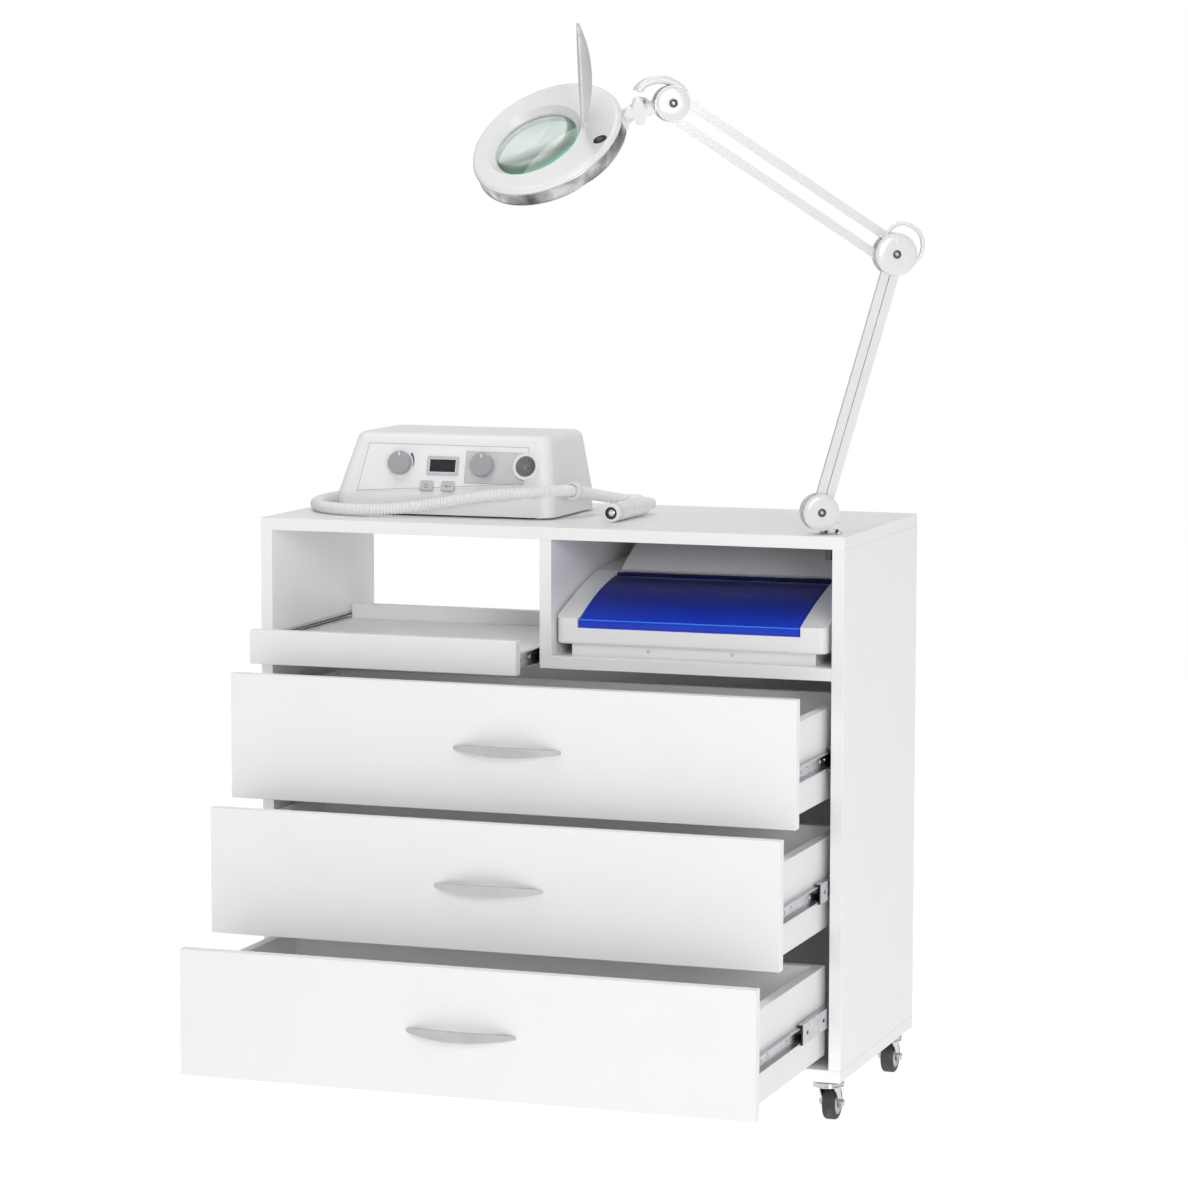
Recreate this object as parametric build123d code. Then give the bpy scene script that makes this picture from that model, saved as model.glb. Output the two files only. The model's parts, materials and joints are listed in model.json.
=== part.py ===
from build123d import *
import math
import os

# Driving dimensions, millimetres. X runs left to right along the front,
# -Y is the front, +Z is up, and the origin is on the floor under the middle.

# cabinet
cabinet_width = 900.0
cabinet_depth = 400.0
box_height = 787.0
caster_height = 67.0
board = 18.0
back_board = 3.0
edge_round = 0.8
shelf_top_height = 599.0

# drawers
drawer_pulls = (160.0, 234.0, 343.0)
middle_leads = (96.0, 77.0, 48.0)
front_side_gap = 4.0
front_gap = 3.5
lowest_gap = 2.0
highest_gap = 6.5
drawer_side = 16.0
drawer_side_height = 131.0
drawer_side_lift = 15.0
drawer_floor = 4.0
drawer_floor_lift = 10.0
runner_lift = 60.0

# bow handles
handle_length = 164.0
handle_height = 15.0
handle_reach = 26.0
handle_bar = 5.5

# ball-bearing runners
runner_shortening = 50.0
middle_shortening = 60.0
runner_thickness = 12.7
runner_height = 35.0
runner_sheet = 1.2
runner_start = 2.0
ball_gap = 1.8
slot_length = 9.0
slot_height = 4.5

# pull-out tray
tray_pull = 90.0
tray_gap = 3.0
tray_front_height = 50.0
tray_front_bottom = 580.0
tray_shortening = 35.0
tray_centre_height = 598.5

# casters
caster_inset_x = 29.0
caster_inset_y = 40.0
caster_plate = 50.0
plate_sheet = 2.0
wheel_diameter = 50.0
wheel_width = 19.0
wheel_trail = 20.0
head_diameter = 44.0
fork_sheet = 2.0
axle_diameter = 8.0
pedal_reach = 66.0
pedal_width = 15.0

# magnifier lamp
lamp_inset_x = 34.0
lamp_inset_y = 45.0
lamp_turn = 30.0
pin_diameter = 13.0
pin_drop = 36.0
socket_wall = 2.0
base_joint = (-16.0, 31.6)
elbow_joint = (90.6, 397.0)
wrist_joint = (-233.2, 608.4)
tilt_joint = (-280.0, 606.0)
base_pair = (20.8, 23.1)
wrist_pair = (2.0, 34.0)
bar_width = 12.4
bar_thickness = 7.7
arm_gap = 0.9
base_disc = 52.0
elbow_disc = 60.0
wrist_disc = 50.0
disc_thickness = 5.0
pivot_pin = 5.0
pivot_gap = 0.3
pin_gap = 0.3
screw_head = 8.0
collar_height = 9.0
yoke_back = 13.0
roll_gap = 0.4
tab_thickness = 9.0

# magnifier head
head_normal = (-0.153, -0.668, 0.7282)
head_axis = (0.9227, 0.0720, 0.3791)
head_radius = 111.5
head_depth = 20.0
head_crown = 8.0
head_wall = 3.0
head_setback = 139.8
head_lift = 15.5
lens_shift = 17.0
lens_height = 5.0
lens_diameter = 127.0
lens_thickness = 9.0
bevel_diameter = 142.0
cover_diameter = 145.0
cover_thickness = 3.0
cover_bulge = 15.0
cover_angle = 110.0
hinge_gap = 4.0
knob_diameter = 42.0
switch_spot = (80.2, -50.5)
switch_size = (20.0, 15.0)

# drill and suction unit
unit_inset_x = 78.0
unit_inset_y = 100.0
unit_width = 345.0
unit_depth = 197.0
unit_height = 120.0
unit_foot = 3.0
unit_base = 29.0
unit_lean = 24.0
unit_left_lean = 26.0
unit_right_lean = 14.0
unit_round = 18.0
unit_wall = 3.0
panel_sheet = 1.2
dial_diameter = 34.0
dial_depth = 12.0
button_width = 19.0
button_height = 13.0
holder_bore = 31.0
holder_outer = 41.0
holder_depth = 60.0
control_height = 77.0
button_row = 45.0
dial_spots = (103.0, 234.0)
button_spots = (147.0, 181.0)
display_spot = 170.0
display_size = (49.0, 27.0)
holder_spot = 302.0
panel_corners = ((33.0, 34.0), (301.0, 49.0), (306.0, 107.0), (47.0, 108.0))
metal_patch = (206.0, 300.0, 51.0, 97.0)

# hose and handpiece
hose_diameter = 18.0
handpiece_diameter = 27.0
handpiece_front = (438.0, 0.0, 13.8)
handpiece_back = (445.0, 128.0, 15.0)
clip_gap = 1.0
hose_points = (
    (82.0, 250.0, 36.0),
    (-13.0, 250.0, 20.0),
    (-66.0, 190.0, 9.6),
    (-66.0, 70.0, 9.6),
    (-18.0, -12.0, 9.6),
    (57.0, -40.0, 9.6),
    (132.0, -21.0, 14.0),
    (242.0, -15.0, 35.0),
    (310.0, -21.0, 42.0),
    (358.0, 34.0, 42.0),
    (361.0, 78.0, 38.0),
    (381.0, 130.0, 26.0),
    (434.0, 148.0, 18.0),
)

# steriliser
steriliser_gap_left = 4.0
steriliser_gap_right = 10.0
steriliser_setback = 10.0
steriliser_rear_gap = 57.0
steriliser_plinth = 18.0
steriliser_band = 38.0
steriliser_inset = 20.0
hood_height = 60.0
hood_wall = 3.0
cowl_height = 86.0
cowl_reach = 88.0
visor_margin_left = 34.0
visor_margin_right = 40.0
visor_sheet = 2.5
visor_gap = 1.0

# Heights and faces worked out from the sizes above
half_width = cabinet_width / 2
half_depth = cabinet_depth / 2
box_bottom = caster_height
box_top = box_bottom + box_height
inner_x = half_width - board
inner_back = half_depth - back_board
top_under = box_top - board
shelf_top = box_bottom + shelf_top_height
shelf_under = shelf_top - board
divider_x = board / 2
tray_z = box_bottom + tray_centre_height

drawer_room = shelf_under - (box_bottom + board)
drawer_front_height = (drawer_room - lowest_gap - 2 * front_gap - highest_gap) / 3
drawer_pitch = drawer_front_height + front_gap
drawer_outer = inner_x - runner_thickness
runner_length = cabinet_depth - runner_shortening
middle_length = runner_length - middle_shortening
tray_depth = cabinet_depth - tray_shortening
lamp_x = half_width - lamp_inset_x
lamp_y = -half_depth + lamp_inset_y
unit_left = -half_width + unit_inset_x
unit_right = unit_left + unit_width
unit_front = -half_depth + unit_inset_y
steriliser_left = divider_x + steriliser_gap_left
steriliser_right = inner_x - steriliser_gap_right
steriliser_front = -half_depth + steriliser_setback
visor_left = steriliser_left + visor_margin_left
visor_right = steriliser_right - visor_margin_right


def block(x0, x1, y0, y1, z0, z1):
    """A box between two corners."""
    box = Box(x1 - x0, y1 - y0, z1 - z0)
    return Pos((x0 + x1) / 2, (y0 + y1) / 2, (z0 + z1) / 2) * box


def panel(x0, x1, y0, y1, z0, z1):
    """A board with its edges eased."""
    piece = block(x0, x1, y0, y1, z0, z1)
    return fillet(piece.edges(), edge_round)


def rod(start, end, radius):
    """A round bar between two points."""
    way = Vector(*end) - Vector(*start)
    plane = Plane(origin=Vector(*start), z_dir=way)
    return extrude(plane * Circle(radius), amount=way.length)


def along_x(x0, x1, y, z, radius):
    """A round bar parallel to X."""
    return rod((x0, y, z), (x1, y, z), radius)


# Cabinet
def cabinet():
    socket_radius = pin_diameter / 2 + socket_wall
    top = panel(-half_width, half_width, -half_depth, half_depth, top_under, box_top)
    hole = Pos(lamp_x, lamp_y, box_top - board / 2) * Cylinder(socket_radius, 2 * board)
    socket = Pos(lamp_x, lamp_y, box_top - board / 2) * Cylinder(socket_radius, board)
    socket -= Pos(lamp_x, lamp_y, box_top - board / 2) * Cylinder(pin_diameter / 2, 2 * board)
    bottom = panel(-half_width, half_width, -half_depth, inner_back, box_bottom, box_bottom + board)
    sides = {}
    for name, outer in (("left", -half_width), ("right", half_width)):
        inner = outer - math.copysign(board, outer)
        x0, x1 = min(outer, inner), max(outer, inner)
        sides[name] = panel(x0, x1, -half_depth, inner_back, box_bottom + board, top_under)
    divider = panel(-divider_x, divider_x, -half_depth, inner_back, shelf_under, top_under)
    shelf = panel(divider_x, inner_x, -half_depth, inner_back, shelf_under, shelf_top)
    back_low = block(-half_width, half_width, inner_back, half_depth, box_bottom, shelf_under + board / 2)
    back_high = block(0, half_width, inner_back, half_depth, box_bottom, top_under)
    return {
        "top_panel": [top - hole, socket],
        "bottom_panel": [bottom],
        "left_side_panel": [sides["left"]],
        "right_side_panel": [sides["right"]],
        "bay_divider_and_shelf": [divider, shelf],
        "back_panel": [back_low + back_high],
    }


# Runners: three channels inside one another, web to web
member_half_heights = {
    "fixed": runner_height / 2,
    "middle": runner_height / 2 - runner_sheet - ball_gap,
    "inner": runner_height / 2 - 2 * (runner_sheet + ball_gap),
}
member_webs = {"fixed": 0.0, "middle": 1.5 * runner_sheet, "inner": runner_thickness - runner_sheet}
member_lips = {
    "fixed": (0.0, 0.72 * runner_thickness),
    "middle": (1.5 * runner_sheet, 0.82 * runner_thickness),
    "inner": (0.32 * runner_thickness, runner_thickness),
}


def channel(kind, wall_x, toward, y0, length, z):
    """One channel of a runner: a web on edge with a lip above and below."""
    half = member_half_heights[kind]
    web = member_webs[kind]
    lip0, lip1 = member_lips[kind]

    def spread(a, b):
        return sorted((wall_x + toward * a, wall_x + toward * b))

    wx0, wx1 = spread(web, web + runner_sheet)
    lx0, lx1 = spread(lip0, lip1)
    piece = block(wx0, wx1, y0, y0 + length, z - half, z + half)
    piece += block(lx0, lx1, y0, y0 + length, z + half - runner_sheet, z + half)
    piece += block(lx0, lx1, y0, y0 + length, z - half, z - half + runner_sheet)
    for share in (0.08, 0.36, 0.64, 0.92):
        y = y0 + length * share
        piece -= block(wx0 - 1, wx1 + 1, y - slot_length / 2, y + slot_length / 2,
                       z - slot_height / 2, z + slot_height / 2)
    return piece


def runner_pair(kind, walls, y0, length, z):
    return [channel(kind, x, toward, y0, length, z) for x, toward in walls]


# Drawers
def bow_handle(front_y, z):
    """A crescent bow: thin ends on the front, the middle standing clear of it."""
    half = handle_length / 2
    outer = ThreePointArc((-half, 0), (0, -handle_reach), (half, 0))
    foot = half - 2.2 * handle_bar
    inner = ThreePointArc((foot, 0), (0, -handle_reach + handle_bar), (-foot, 0))
    plan = make_face(outer + Line((half, 0), (foot, 0)) + inner + Line((-foot, 0), (-half, 0)))
    bow = extrude(Plane.XY * plan, amount=handle_height, both=True)
    tip = handle_height / 6
    upper = ThreePointArc((-half, tip), (0, handle_height / 2), (half, tip))
    lower = ThreePointArc((half, -tip), (0, -handle_height / 2), (-half, -tip))
    face = make_face(upper + Line((half, tip), (half, -tip)) + lower + Line((-half, -tip), (-half, tip)))
    curtain = extrude(Plane.XZ * face, amount=2 * handle_reach, both=True)
    return Pos(0, front_y, z) * (bow & curtain)


def drawer(index):
    pull = drawer_pulls[index]
    front_y = -half_depth - pull
    box_y = front_y + board
    low = box_bottom + board + lowest_gap + (2 - index) * drawer_pitch
    high = low + drawer_front_height
    front_half = inner_x - front_side_gap
    front = panel(-front_half, front_half, front_y, box_y, low, high)

    side_low = low + drawer_side_lift
    side_high = side_low + drawer_side_height
    inner_half = drawer_outer - drawer_side
    back_y = box_y + runner_length
    left = panel(-drawer_outer, -inner_half, box_y, back_y, side_low, side_high)
    right = panel(inner_half, drawer_outer, box_y, back_y, side_low, side_high)
    back = panel(-inner_half, inner_half, back_y - drawer_side, back_y, side_low, side_high)
    floor_low = side_low + drawer_floor_lift
    floor = block(-inner_half, inner_half, box_y, back_y - drawer_side, floor_low, floor_low + drawer_floor)

    runner_z = side_low + runner_lift
    walls = ((-inner_x, 1), (inner_x, -1))
    fixed_y = -half_depth + board + runner_start
    middle_y = -half_depth + middle_leads[index] - pull / 2
    name = f"drawer_{index + 1}"
    return {
        f"{name}_front": [front],
        f"{name}_box": [left, right, back, floor],
        f"{name}_handle": [bow_handle(front_y, (low + high) / 2)],
        f"{name}_inner_runners": runner_pair("inner", walls, fixed_y - pull,
                                             runner_length - runner_start, runner_z),
        f"{name}_middle_runners": runner_pair("middle", walls, middle_y, middle_length, runner_z),
    }, runner_pair("fixed", walls, fixed_y, runner_length, runner_z)


def tray():
    front_y = -half_depth - tray_pull
    deck_y = front_y + board
    x0 = -inner_x + tray_gap
    x1 = -divider_x - tray_gap
    low = box_bottom + tray_front_bottom
    front = panel(x0, x1, front_y, deck_y, low, low + tray_front_height)
    deck_x0 = -inner_x + runner_thickness
    deck_x1 = -divider_x - runner_thickness
    deck = panel(deck_x0, deck_x1, deck_y, deck_y + tray_depth, tray_z - board / 2, tray_z + board / 2)
    rail = panel(deck_x0, deck_x1, deck_y + tray_depth - board, deck_y + tray_depth,
                 tray_z + board / 2, low + tray_front_height)
    walls = ((-inner_x, 1), (-divider_x, -1))
    fixed_y = -half_depth + board + runner_start
    middle_y = -half_depth + middle_leads[0] - tray_pull / 2
    return {
        "tray_deck": [front, deck, rail],
        "tray_inner_runners": runner_pair("inner", walls, fixed_y - tray_pull,
                                          runner_length - runner_start, tray_z),
        "tray_middle_runners": runner_pair("middle", walls, middle_y, middle_length, tray_z),
    }, runner_pair("fixed", walls, fixed_y, runner_length, tray_z)


# Casters
def caster_fork(x, y):
    head_top = caster_height - plate_sheet - 3.4
    axle_z = wheel_diameter / 2
    axle_y = y + wheel_trail
    bridge = wheel_diameter + 3.5
    piece = Pos(x, y, (head_top + bridge) / 2) * Cylinder(head_diameter / 2, head_top - bridge)
    leg_x = wheel_width / 2 + 1.4
    for side in (-1, 1):
        outline = Polyline(
            (y - 12, bridge + 4), (y + 15, bridge + 4), (axle_y + 7.5, axle_z),
            (axle_y + 4, axle_z - 6.5), (axle_y - 4, axle_z - 6.5), (axle_y - 8.5, axle_z), close=True)
        leg = extrude(Plane.YZ * make_face(outline), amount=fork_sheet)
        start = leg_x if side > 0 else -leg_x - fork_sheet
        piece += Pos(x + start, 0, 0) * leg
        cap0 = x + side * (leg_x + fork_sheet)
        piece += along_x(min(cap0, cap0 + side * 4), max(cap0, cap0 + side * 4), axle_y, axle_z, 5.5)
    piece += along_x(x - leg_x - 1, x + leg_x + 1, axle_y, axle_z, axle_diameter / 2)
    return piece


def caster_wheel(x, y):
    axle_z = wheel_diameter / 2
    axle_y = y + wheel_trail
    half = wheel_width / 2
    tyre = along_x(x - half, x + half, axle_y, axle_z, wheel_diameter / 2)
    tyre = fillet(tyre.edges().filter_by(GeomType.CIRCLE), 4.0)
    for side in (-1, 1):
        x0, x1 = sorted((x + side * (half - 1.8), x + side * (half + 1)))
        ring = along_x(x0, x1, axle_y, axle_z, 17.0) - along_x(x0, x1, axle_y, axle_z, 8.0)
        tyre -= ring
    return tyre - along_x(x - half - 1, x + half + 1, axle_y, axle_z, axle_diameter / 2 + 0.3)


def brake_pedal(x, y):
    """A bent tread that reaches over the wheel, hung between the fork legs' tops."""
    pivot_y = y + head_diameter / 2 + 2.5
    pivot_z = wheel_diameter + 6.5
    tread = block(x - pedal_width / 2, x + pedal_width / 2, pivot_y, y + pedal_reach,
                  pivot_z - 1.2, pivot_z + 1.2)
    tip = block(x - pedal_width / 2 - 1, x + pedal_width / 2 + 1, y + pedal_reach, y + pedal_reach + 7,
                pivot_z - 3, pivot_z + 4)
    barrel = along_x(x - pedal_width / 2, x + pedal_width / 2, pivot_y, pivot_z, 2.4)
    return barrel + tread + fillet(tip.edges(), 1.0)


def casters():
    nodes = {"caster_plates": []}
    for fore, y in (("front", -half_depth + caster_inset_y), ("rear", half_depth - caster_inset_y)):
        for hand, x in (("left", -half_width + caster_inset_x), ("right", half_width - caster_inset_x)):
            half = caster_plate / 2
            under = box_bottom - plate_sheet
            plate = block(x - half, x + half, y - half, y + half, under, box_bottom)
            plate = fillet(plate.edges().filter_by(Axis.Z), 4.0)
            plate += Pos(x, y, under - 1.5) * Cylinder(head_diameter / 2 - 2, 3.0)
            nodes["caster_plates"].append(plate)
            nodes[f"caster_{fore}_{hand}_fork"] = [caster_fork(x, y)]
            nodes[f"caster_{fore}_{hand}_wheel"] = [caster_wheel(x, y)]
            if fore == "front":
                nodes[f"caster_{fore}_{hand}_brake"] = [brake_pedal(x, y)]
    return nodes


# Magnifier lamp, drawn in the upright plane of its arms and then turned
lamp_place = Pos(lamp_x, lamp_y, box_top) * Rot(0, 0, lamp_turn)
cheek_in = bar_thickness + 1.5 * arm_gap
cheek_out = cheek_in + disc_thickness
lower_bars = (-bar_thickness - arm_gap, -arm_gap)
upper_bars = (arm_gap, bar_thickness + arm_gap)


def facing(face, y0, y1):
    """Extrude a face drawn in the arms' plane between two depths."""
    return Pos(0, y1, 0) * extrude(Plane.XZ * face, amount=y1 - y0)


def disc(centre, diameter, y0, y1):
    return facing(Pos(centre[0], centre[1], 0) * Circle(diameter / 2), y0, y1)


def shifted(point, pair, side):
    """One of the two pivots of a pair, either side of the joint's middle."""
    return point[0] + side * pair[0] / 2, point[1] + side * pair[1] / 2


def joint_bracket(centre, diameter, pins):
    """Two discs either side of the bars, with a pin for each pivot between them."""
    piece = disc(centre, diameter, -cheek_out, -cheek_in)
    piece += disc(centre, diameter, cheek_in, cheek_out)
    for pair, y0, y1 in pins:
        for side in (-1, 1):
            piece += disc(shifted(centre, pair, side), pivot_pin, y0, y1)
    return piece + disc(centre, screw_head, -cheek_out - 1.5, -cheek_out + 1)


def arm_bar(start, end, pair, side, depths):
    a = shifted(start, pair, side)
    b = shifted(end, pair, side)
    way = math.hypot(b[0] - a[0], b[1] - a[1])
    angle = math.degrees(math.atan2(b[1] - a[1], b[0] - a[0]))
    middle = Pos((a[0] + b[0]) / 2, (a[1] + b[1]) / 2, 0)
    bar = facing(middle * Rot(0, 0, angle) * SlotCenterToCenter(way, bar_width), *depths)
    for point in (a, b):
        bar -= disc(point, pivot_pin + 2 * pivot_gap, -2 * bar_thickness, 2 * bar_thickness)
    return lamp_place * bar


def world(point, depth=0.0):
    """A point of the arms' plane in the frame of the whole object."""
    return (lamp_place * Pos(point[0], depth, point[1])).position


tilt_point = world(tilt_joint)
normal = Vector(*head_normal).normalized()
toward_arm = (Vector(*head_axis) - normal * normal.dot(Vector(*head_axis))).normalized()
tilt_axis = toward_arm.cross(normal)
across = (world((1, 0)) - world((0, 0))).normalized()
roll_level = -tilt_axis.dot(across) / tilt_axis.Z
roll_axis = -(across + Vector(0, 0, 1) * roll_level).normalized()
yoke_frame = Plane(origin=tilt_point, x_dir=roll_axis, z_dir=tilt_axis)
head_centre = tilt_point - toward_arm * head_setback - normal * head_lift
head_frame = Plane(origin=head_centre, x_dir=toward_arm, z_dir=normal)


def lamp_brackets():
    through = ((base_pair, -cheek_in - 1, cheek_in + 1),)
    pin_length = pin_drop + collar_height
    pin = Pos(0, 0, (collar_height - pin_drop) / 2) * Cylinder(pin_diameter / 2 - pin_gap, pin_length)
    collar = Pos(0, 0, collar_height / 2 + 0.4) * Cylinder(pin_diameter, collar_height)
    post = block(-8, pin_diameter / 2 + 4, -cheek_out, cheek_out, collar_height - 1, collar_height + 7)
    base = joint_bracket(base_joint, base_disc, through) + collar + post + pin

    elbow_pins = ((base_pair, -cheek_in - 1, 0), (wrist_pair, 0, cheek_in + 1))
    elbow = joint_bracket(elbow_joint, elbow_disc, elbow_pins)
    elbow += disc(elbow_joint, elbow_disc - 10, -arm_gap / 2, arm_gap / 2)

    wrist = joint_bracket(wrist_joint, wrist_disc, ((wrist_pair, -cheek_in - 1, cheek_in + 1),))
    nose_x = wrist_joint[0] - wrist_disc / 2
    wrist += block(nose_x - 1, nose_x + 7, -cheek_out, cheek_out, wrist_joint[1] - 9, wrist_joint[1] + 5)
    stub_start = yoke_frame.to_local_coords(world((nose_x + 3, wrist_joint[1] - 4)))
    stub = yoke_frame * rod((-yoke_back - roll_gap, 0, 0), (stub_start.X, 0, 0), 8.0)
    return {
        "lamp_base_bracket": [lamp_place * base],
        "lamp_elbow_bracket": [lamp_place * elbow],
        "lamp_wrist_bracket": [(lamp_place * wrist) + stub],
    }


def lamp_yoke():
    """A fork that rolls on the wrist's stub and carries the head on a cross pin."""
    cheek0 = tab_thickness / 2 + 0.5
    cheek1 = cheek0 + 4.0
    fork = rod((-yoke_back, 0, 0), (-yoke_back + 5, 0, 0), 9.5)
    for side in (-1, 1):
        z0, z1 = sorted((side * cheek0, side * cheek1))
        fork += block(-yoke_back + 3, 0, -8, 8, z0, z1) + rod((0, 0, z0), (0, 0, z1), 8)
    fork += rod((0, 0, -cheek1), (0, 0, cheek1 + 8), pivot_pin / 2)
    knob = Circle(knob_diameter * 0.3)
    for turn in range(4):
        lobe = Rot(0, 0, 90 * turn + 20) * Pos(knob_diameter * 0.33, 0) * Circle(knob_diameter * 0.17)
        knob += lobe
    knob = extrude(Pos(0, 0, cheek1 + 0.6) * knob, amount=10)
    knob -= rod((0, 0, 0), (0, 0, cheek1 + 8.5), pivot_pin / 2 + pivot_gap)
    return {"head_yoke": [yoke_frame * fork], "clamp_knob": [yoke_frame * knob]}


def dome(radius, rise):
    """A spherical cap standing on the ground plane."""
    ball = (radius * radius + rise * rise) / (2 * rise)
    return Pos(0, 0, rise - ball) * Sphere(ball) & Pos(0, 0, rise / 2) * Cylinder(radius, rise)


def magnifier_head():
    """Drawn round the middle of the steel band: X to the arm, Z out of the face."""
    half = head_depth / 2
    crown_top = half + head_crown
    lens_spot = Pos(-lens_shift, 0, 0)
    lip = lens_diameter / 2 - 2
    edge = lens_thickness / 3
    seat = lens_height - edge / 2 - 0.3
    mouth = lens_height + edge / 2 + 0.2

    crown = Pos(0, 0, half + head_crown / 2) * Cylinder(head_radius, head_crown)
    crown = fillet(crown.edges().sort_by(Axis.Z)[-1], head_crown - 2)
    funnel_radius = bevel_diameter / 2 + head_wall
    hollow = Pos(0, 0, half + (head_crown - head_wall) / 2) * Cylinder(head_radius - 2 * head_wall,
                                                                     head_crown - head_wall)
    hollow -= lens_spot * Pos(0, 0, half) * Cylinder(funnel_radius, 4 * head_crown)
    crown -= hollow
    crown += lens_spot * Pos(0, 0, (mouth + half + 1) / 2) * Cylinder(funnel_radius, half + 1 - mouth)
    crown -= lens_spot * Pos(0, 0, (mouth + crown_top) / 2) * Cone(lip, bevel_diameter / 2, crown_top - mouth)
    crown -= lens_spot * Pos(0, 0, half) * Cylinder(lip - 0.5, 6 * head_crown)
    crown -= Pos(*switch_spot, crown_top) * extrude(Ellipse(switch_size[0] / 2 + 0.3, switch_size[1] / 2 + 0.3),
                                                    amount=2 * head_crown, both=True)

    band = Cylinder(head_radius, head_depth) - Cylinder(head_radius - 1.5, 2 * head_depth)
    lower = Pos(0, 0, -half + 1.5) * Cylinder(head_radius - 1.5, 3)
    lower += lens_spot * Pos(0, 0, (seat - half + 1) / 2) * Cylinder(lens_diameter / 2 + 2, seat + half - 1)
    lower -= lens_spot * Cylinder(lip, 4 * head_depth)

    bulge = (lens_thickness - edge) / 2
    radius = lens_diameter / 2
    glass = Cylinder(radius, edge)
    glass += Pos(0, 0, edge / 2) * dome(radius, bulge)
    glass += Rot(180, 0, 0) * Pos(0, 0, edge / 2) * dome(radius, bulge)
    lens = lens_spot * Pos(0, 0, lens_height) * glass

    hinge_x = -lens_shift + cover_diameter / 2 + hinge_gap
    hinge_z = crown_top + 4.5
    for side in (-1, 1):
        y0, y1 = sorted((side * 5.5, side * 8.5))
        lug = block(hinge_x - 4, hinge_x + 4, y0, y1, crown_top - 2, hinge_z)
        lug += rod((hinge_x, y0, hinge_z), (hinge_x, y1, hinge_z), 4)
        crown += lug - rod((hinge_x, y0 - 1, hinge_z), (hinge_x, y1 + 1, hinge_z), 1.8)

    tab_x, tab_z = head_setback, head_lift
    side = Polyline((head_radius - 4, 1 - half), (head_radius + 3, 1 - half), (tab_x + 4, tab_z - 6.5),
                    (tab_x - 4, tab_z + 6.5), (head_radius + 3, half - 1), (head_radius - 4, half - 1), close=True)
    tab = extrude(Plane.XZ * make_face(side), amount=tab_thickness / 2, both=True)
    tab += rod((tab_x, -tab_thickness / 2, tab_z), (tab_x, tab_thickness / 2, tab_z), 8)
    tab += block(head_radius - 4, head_radius + 3, -13, 13, -half + 1, half - 1)
    tab -= rod((tab_x, -20, tab_z), (tab_x, 20, tab_z), pivot_pin / 2 + pivot_gap)
    tab -= Cylinder(head_radius + 0.05, 3 * head_depth)

    switch_face = Ellipse(switch_size[0] / 2, switch_size[1] / 2)
    switch = Pos(*switch_spot, crown_top - 5) * extrude(switch_face, amount=6.2)
    switch = fillet(switch.edges().sort_by(Axis.Z)[-1], 1.0)
    return {
        "head_shell": [head_frame * crown, head_frame * lower, head_frame * tab],
        "head_band": [head_frame * band],
        "magnifier_lens": [head_frame * lens],
        "lamp_switch": [head_frame * switch],
        "lens_cover": [head_frame * lens_cover(hinge_x, hinge_z, crown_top)],
    }


def lens_cover(hinge_x, hinge_z, crown_top):
    """A dished lid, drawn shut and then swung open about its hinge."""
    radius = cover_diameter / 2
    rim = crown_top + 0.6
    inner_radius = radius - cover_thickness
    lid = dome(radius, cover_bulge) + Pos(0, 0, -cover_thickness / 2) * Cylinder(radius, cover_thickness)
    lid -= dome(inner_radius, cover_bulge - cover_thickness)
    lid -= Pos(0, 0, -cover_thickness / 2) * Cylinder(inner_radius, 1.01 * cover_thickness)
    lid = Pos(-lens_shift, 0, rim + cover_thickness) * lid
    lid += block(hinge_x - 9, hinge_x, -5, 5, hinge_z - 2.5, hinge_z + 2.5)
    lid += rod((hinge_x, -5, hinge_z), (hinge_x, 5, hinge_z), 4)
    lid += rod((hinge_x, -8.5, hinge_z), (hinge_x, 8.5, hinge_z), 1.5)
    grip = -lens_shift - radius
    lid += block(grip - 5, grip + cover_thickness, -7, 7, rim, rim + cover_thickness)
    return Pos(hinge_x, 0, hinge_z) * Rot(0, cover_angle, 0) * Pos(-hinge_x, 0, -hinge_z) * lid


def lamp():
    nodes = lamp_brackets()
    for name, side in (("lower_arm_main_bar", -1), ("lower_arm_second_bar", 1)):
        nodes[name] = [arm_bar(base_joint, elbow_joint, base_pair, side, lower_bars)]
    for name, side in (("upper_arm_main_bar", 1), ("upper_arm_second_bar", -1)):
        nodes[name] = [arm_bar(elbow_joint, wrist_joint, wrist_pair, side, upper_bars)]
    nodes.update(lamp_yoke())
    nodes.update(magnifier_head())
    return nodes


# Drill and suction unit on the top
unit_x = (unit_left + unit_right) / 2
unit_y = unit_front + unit_depth / 2
unit_low = box_top + unit_foot
unit_top = unit_low + unit_height
unit_shoulder = unit_low + unit_base
lean_rise = unit_top - unit_shoulder
front_middle = (unit_x, unit_front + unit_lean / 2, unit_shoulder + lean_rise / 2)
face_frame = Plane(origin=front_middle, x_dir=(1, 0, 0), z_dir=(0, -lean_rise, unit_lean))
slope = math.hypot(lean_rise, unit_lean) / lean_rise


def on_face(across, height):
    """Where a point across the unit and above the top lies on the leaning front."""
    return across - unit_width / 2, (height + box_top - front_middle[2]) * slope


def on_top(point):
    """A point counted from the unit's front left corner on the top."""
    return unit_left + point[0], unit_front + point[1], box_top + point[2]


hose_route = [on_top(point) for point in hose_points]


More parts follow.
